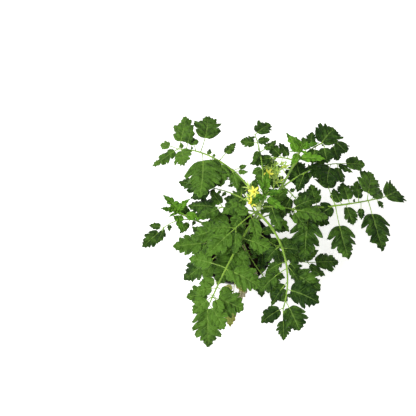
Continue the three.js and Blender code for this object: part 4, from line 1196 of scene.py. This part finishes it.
def leaf_blade(add, deep, light, vein, under, stain=None, stained=0.0):
    """A living leaf: patchy green, with painted light and shade from its tone mark and a painted
    highlight on the bulges between the side veins, fine pale veins, blistered between the side veins
    and puckered between the finest ones. stain spreads inwards from the margins, less where stained is
    high."""
    place = add("TexCoord", out="Object")
    broad = add("TexNoise", {"Vector": place, "Scale": per_mm(19), "Detail": 3})
    fine = add("TexNoise", {"Vector": place, "Scale": per_mm(2.6), "Detail": 3})
    blister = add("TexNoise", {"Vector": place, "Scale": per_mm(10), "Detail": 1})
    net = add("TexVoronoi", {"Vector": place, "Scale": per_mm(3.4)}, feature="DISTANCE_TO_EDGE")
    tone, vein_at, side_at, below = (
        add("Attribute", out="Fac", attribute_name=name) for name in MARKS
    )
    # Side veins run where the vein mark is a whole number, the midrib where the side mark is 0.
    off_vein = add("Math", (vein_at, 0.5), operation="PINGPONG")
    off_rib = add("Math", (side_at,), operation="ABSOLUTE")
    # The tone mark paints light and shade, leaf by leaf; the noise patterns on it are random patches.
    shade = tone
    for pattern, much in ((broad, 1.6), (fine, 0.6)):
        off_mean = add("Math", (pattern, 0.5), operation="SUBTRACT")
        shade = add("Math", (off_mean, much, shade), operation="MULTIPLY_ADD")
    # A painted highlight: lighter between the side veins, on the tops of the quilted bulges.
    swollen = add("MapRange", (off_vein, 0, 0.4), **SOFT)
    shade = add("Math", (swollen, 0.2, shade), operation="MULTIPLY_ADD")
    lit = add("MapRange", (shade, 0, 1.1), **SOFT)
    green = add("Mix", (lit, colour(deep), colour(light)), **COLOURS)
    at_vein = add("MapRange", (off_vein, 0, 0.05, 0.4, 0), **SOFT)
    inner = add("MapRange", (off_rib, 0.3, 0.85, 1, 0), **SOFT)
    side_vein = add("Math", (at_vein, inner), operation="MULTIPLY")
    rib = add("MapRange", (off_rib, 0.02, 0.07, 0.5, 0), **SOFT)
    mesh_vein = add("MapRange", (net, 0, 0.1, 0.07, 0), **SOFT)
    stout = add("Math", (side_vein, rib), operation="MAXIMUM")
    veined = add("Math", (stout, mesh_vein), operation="MAXIMUM")
    skin = add("Mix", (veined, green, colour(vein)), **COLOURS)
    if stain:
        blot = add("TexNoise", {"Vector": place, "Scale": per_mm(9), "Detail": 4})
        outer = add("Math", (off_rib, 0.35, blot), operation="MULTIPLY_ADD")
        worn = add("MapRange", (outer, stained, 0.9), **SOFT)
        skin = add("Mix", (worn, skin, colour(stain)), **COLOURS)
    pale = add("Math", (below, 0.75), operation="MULTIPLY")
    skin = add("Mix", (pale, skin, colour(under)), **COLOURS)
    domed = add("MapRange", (net, 0, 0.35), **SOFT)
    pucker = add("Math", (domed, side_vein), operation="SUBTRACT")
    height = add("Math", (blister, 16, pucker), operation="MULTIPLY_ADD")
    rough = add("MapRange", (fine, 0.3, 0.7, 0.5, 0.68), **SOFT)
    bump = add("Bump", {"Height": height, "Strength": 0.8, "Distance": 0.6 * MM})
    return {"Base Color": skin, "Roughness": rough, "Normal": bump}


def green_skin(add, dark, pale, flush=None):
    """Skin of a stem or stalk: fine streaks and the frost of short hairs, flushed near the ground."""
    place = add("TexCoord", out="Object")
    blot = add("TexNoise", {"Vector": place, "Scale": per_mm(12), "Detail": 3})
    hair = add("TexNoise", {"Vector": place, "Scale": per_mm(0.7), "Detail": 2})
    shade = add("Math", (hair, 0.5, blot), operation="MULTIPLY_ADD")
    frosted = add("MapRange", (shade, 0.5, 1), **SOFT)
    skin = add("Mix", (frosted, colour(dark), colour(pale)), **COLOURS)
    if flush:
        ground = SOIL["top"]
        height = add("SeparateXYZ", (place,), out="Z")
        low = add("MapRange", (height, ground * MM, (ground + FLUSH_RISES) * MM, 0.7, 0), **SOFT)
        skin = add("Mix", (low, skin, colour(flush)), **COLOURS)
    bump = add("Bump", {"Height": hair, "Strength": 0.5, "Distance": 0.3 * MM})
    return {"Base Color": skin, "Normal": bump}


def soft_petal(add, deep, pale):
    """A petal: fine streaks, paler towards its edges."""
    place = add("TexCoord", out="Object")
    streak = add("TexNoise", {"Vector": place, "Scale": per_mm(2.5), "Detail": 3})
    side_at = add("Attribute", out="Fac", attribute_name="side")
    edge = add("Math", (side_at,), operation="ABSOLUTE")
    shade = add("Math", (edge, 0.4, streak), operation="MULTIPLY_ADD")
    faded = add("MapRange", (shade, 0.35, 1), **SOFT)
    skin = add("Mix", (faded, colour(deep), colour(pale)), **COLOURS)
    bump = add("Bump", {"Height": streak, "Strength": 0.3, "Distance": 0.2 * MM})
    return {"Base Color": skin, "Normal": bump}


def moulded_black(add, black, dirt):
    """Injection-moulded polypropylene: a fine spark-eroded grain, dusty and splashed with compost."""
    place = add("TexCoord", out="Object")
    grain = add("TexNoise", {"Vector": place, "Scale": per_mm(0.8), "Detail": 2})
    dust = add("TexNoise", {"Vector": place, "Scale": per_mm(24), "Detail": 6})
    dusty = add("MapRange", (dust, 0.5, 0.8, 0, 0.35), **SOFT)
    skin = add("Mix", (dusty, colour(black), colour(dirt)), **COLOURS)
    rough = add("MapRange", (dust, 0.35, 0.75, 0.36, 0.7), **SOFT)
    bump = add("Bump", {"Height": grain, "Strength": 0.35, "Distance": 0.15 * MM})
    return {"Base Color": skin, "Roughness": rough, "Normal": bump}


def damp_crumb(add, dark, pale, size):
    """Crumbly matter: painted shade, darker in the hollows of its bump and paler on its crests, with drier
    patches.
    """
    place = add("TexCoord", out="Object")
    crumb = add("TexNoise", {"Vector": place, "Scale": per_mm(size), "Detail": 6})
    dry = add("TexNoise", {"Vector": place, "Scale": per_mm(30), "Detail": 2})
    # The bump's own noise darkens its hollows, a painted shade; the broad noise makes drier patches.
    shade = add("Math", (dry, 0.5, crumb), operation="MULTIPLY_ADD")
    dry_patches_and_hollow_shade = add("MapRange", (shade, 0.55, 1.1), **SOFT)
    skin = add("Mix", (dry_patches_and_hollow_shade, colour(dark), colour(pale)), **COLOURS)
    bump = add("Bump", {"Height": crumb, "Strength": 0.9, "Distance": 1.2 * MM})
    return {"Base Color": skin, "Normal": bump}


def painted(add, grey, white):
    """Matt paint with the faint orange peel of a roller."""
    place = add("TexCoord", out="Object")
    peel = add("TexNoise", {"Vector": place, "Scale": per_mm(6), "Detail": 2})
    skin = add("Mix", (peel, colour(grey), colour(white)), **COLOURS)
    return {"Base Color": skin, "Emission Color": skin}


FLUSH_RISES = 90  # mm above the compost to which a stem is flushed

# Tomato leaf, grown: a soft satin skin with short hairs, so it has a wide dull shine.
tomato_leaf = finish(
    "tomato_leaf_blade", leaf_blade, "#0c2d00", "#567e26", "#86a84c", "#62833a",
    IOR=1.4, Specular_IOR_Level=0.25, Sheen_Weight=0.02, Sheen_Roughness=0.4,
)
# The same leaf a few days old: thinner, lighter and yellower.
young_leaf = finish(
    "young_tomato_leaf_blade", leaf_blade, "#1a4a04", "#659a24", "#9dc254", "#789c46",
    IOR=1.4, Specular_IOR_Level=0.25, Sheen_Weight=0.02, Sheen_Roughness=0.4,
)
# A leaf that the plant has let go: the green has left it, brown at the margins.
yellow_leaf = finish(
    "yellowed_leaf_blade", leaf_blade, "#cbd566", "#eaeea0", "#eef0b8", "#dbe2a2", "#b09a62", 0.8,
    IOR=1.42, Sheen_Weight=0.1,
)
# Dead leaf, dried on the plant: papery and dull.
withered_leaf = finish(
    "withered_leaf_blade", leaf_blade, "#d0c8a8", "#ece6cc", "#b6aa88", "#ddd5b8", "#a3916c", 0.74,
    IOR=1.4, Sheen_Weight=0.05,
)
# Stem skin, grown: pale green under fine white hairs, purplish near the ground.
stem_skin = finish(
    "hairy_stem_skin", green_skin, "#587c26", "#8cab4a", "#6b5a4c",
    Roughness=0.6, IOR=1.42, Sheen_Weight=0.3, Sheen_Roughness=0.4,
)
# Leaf stalks, grown: yellower and cleaner than the stem, so they stand out between the leaves.
stalk_skin = finish(
    "leaf_stalk_skin", green_skin, "#678f22", "#93b63e",
    Roughness=0.55, IOR=1.42, Sheen_Weight=0.25, Sheen_Roughness=0.4,
)
# Stalks of the youngest leaves and of the flowers: full of water, lighter still.
young_skin = finish(
    "young_stalk_skin", green_skin, "#7ba030", "#a9c655",
    Roughness=0.55, IOR=1.42, Sheen_Weight=0.25, Sheen_Roughness=0.4,
)
# Stalk of the yellowed leaf: straw green, with less of a shine as it dries.
yellow_skin = finish(
    "yellowed_stalk_skin", green_skin, "#9ea352", "#c4c67e",
    Roughness=0.65, IOR=1.42, Sheen_Weight=0.1,
)
# Stalk of the dead leaf: dry fibre, dull and tan.
withered_skin = finish(
    "withered_stalk_skin", green_skin, "#9c8f66", "#c2b68c",
    Roughness=0.8, IOR=1.4, Sheen_Weight=0.05,
)
# Sepal, grown: a small hairy leaf, lime green where the light comes through it.
sepal = finish(
    "hairy_sepal_skin", green_skin, "#8fb83a", "#c6df76",
    Roughness=0.6, IOR=1.42, Sheen_Weight=0.3, Sheen_Roughness=0.4,
)
# Petal: thin, matt and clear yellow.
petal = finish(
    "tomato_flower_petal", soft_petal, "#d8d62e", "#f2ef66", Roughness=0.5, IOR=1.4, Sheen_Weight=0.1
)
# Anthers, grown together in a cone: a warmer yellow than the petals, dusted with pollen.
anther = finish("anther_cone", soft_petal, "#c9b41e", "#e2d23a", Roughness=0.5, IOR=1.4)
# Petals still folded in the bud: greenish and thick.
bud_petal = finish("closed_petal", soft_petal, "#acc048", "#d8e284", Roughness=0.5, IOR=1.4)
# Unripe tomato skin: smooth, waxy and clear.
fruit_skin = finish(
    "unripe_tomato_skin", soft_petal, "#a8bd72", "#c9d69c", Roughness=0.25, IOR=1.46, Coat_Weight=0.2
)
# Polypropylene, injection moulded: black, a soft shine broken by grain and dust.
pot_plastic = finish("moulded_black_polypropylene", moulded_black, "#0e0e0f", "#40382f", IOR=1.49)
# Potting compost, damp: near black with brown fibres.
compost = finish(
    "damp_potting_compost", damp_crumb, "#120c08", "#3c2c20", 2.4, Roughness=0.95, IOR=1.35
)
# Composted bark, shredded: brown splinters, lighter than the compost that they lie on.
bark = finish("composted_bark", damp_crumb, "#1d130c", "#5a4330", 1.6, Roughness=0.9, IOR=1.4)
# Perlite: a puffed white grain, dulled by compost.
perlite = finish("perlite_grain", damp_crumb, "#8e8778", "#d8d3c6", 1.2, Roughness=0.9, IOR=1.4)
# A pale painted studio floor, rolled: flat white, lit from within so that it shows no grey.
studio_floor = finish(
    "painted_studio_floor", painted, "#f3f3f0", "#f8f8f5", Roughness=0.9, Emission_Strength=0.7
)

LEAF_LOOKS = {
    "leaf": (tomato_leaf, stalk_skin, "leaf"),
    "old": (yellow_leaf, yellow_skin, "old_leaf"),
    "dry": (withered_leaf, withered_skin, "dry_leaf"),
}

# ---------------------------------------------------------------- the studio

FLOOR_SIDE = 30  # metres
HORIZON, ZENITH = 0.75, 0.14  # how bright the studio's walls and ceiling are
CEILING = 0.6  # height on the sky, of 1, from which it is all ceiling
KEY_LIGHT = {"place": (-0.9, -0.5, 2.7), "aim": (0.05, 0, 0.4), "size": 1.3, "power": 74}  # metres, watts


def make_floor():
    mesh = bpy.data.meshes.new("studio_floor")
    half = FLOOR_SIDE / 2
    corners = [(x * half, y * half, 0) for x, y in ((-1, -1), (1, -1), (1, 1), (-1, 1))]
    mesh.from_pydata(corners, [], [(0, 1, 2, 3)])
    mesh.materials.append(studio_floor)
    floor = bpy.data.objects.new("studio_floor", mesh)
    bpy.context.scene.collection.objects.link(floor)


def set_lights():
    world = bpy.data.worlds.new("studio")
    world.use_nodes = True
    add = partial(node, world.node_tree)
    height = add("SeparateXYZ", (add("TexCoord", out="Generated"),), out="Z")
    light = add("MapRange", (height, 0, CEILING, HORIZON, ZENITH), **SOFT)
    background = world.node_tree.nodes["Background"].inputs
    background["Color"].default_value = (1, 1, 1, 1)
    world.node_tree.links.new(light, background["Strength"])
    bpy.context.scene.world = world
    data = bpy.data.lights.new("key", "AREA")
    data.size = KEY_LIGHT["size"]
    data.energy = KEY_LIGHT["power"]
    key = bpy.data.objects.new("key", data)
    key.location = KEY_LIGHT["place"]
    aim = Vector(KEY_LIGHT["aim"]) - key.location
    key.rotation_euler = aim.to_track_quat("-Z", "Y").to_euler()
    bpy.context.scene.collection.objects.link(key)
    bpy.context.scene.view_settings.view_transform = "Standard"


# ---------------------------------------------------------------- build

make_floor()
set_lights()
make_pot()
make_soil()
make_crumbs()
make_stem()
for frond in FRONDS:
    make_frond(frond)
seats = {"bud": [], "bloom": [], "fruit": []}
for truss in TRUSSES:
    make_truss(truss)
    for flower in truss["flowers"]:
        seats[flower[1]].append(seat_of(truss_stalk(truss), flower)[1])
for name, seat in zip(BLOOM_NAMES, seats["bloom"]):
    make_bloom(name, seat)
make_fruit(seats["fruit"][0])
for shoot in SHOOTS:
    make_shoot_tip(shoot)
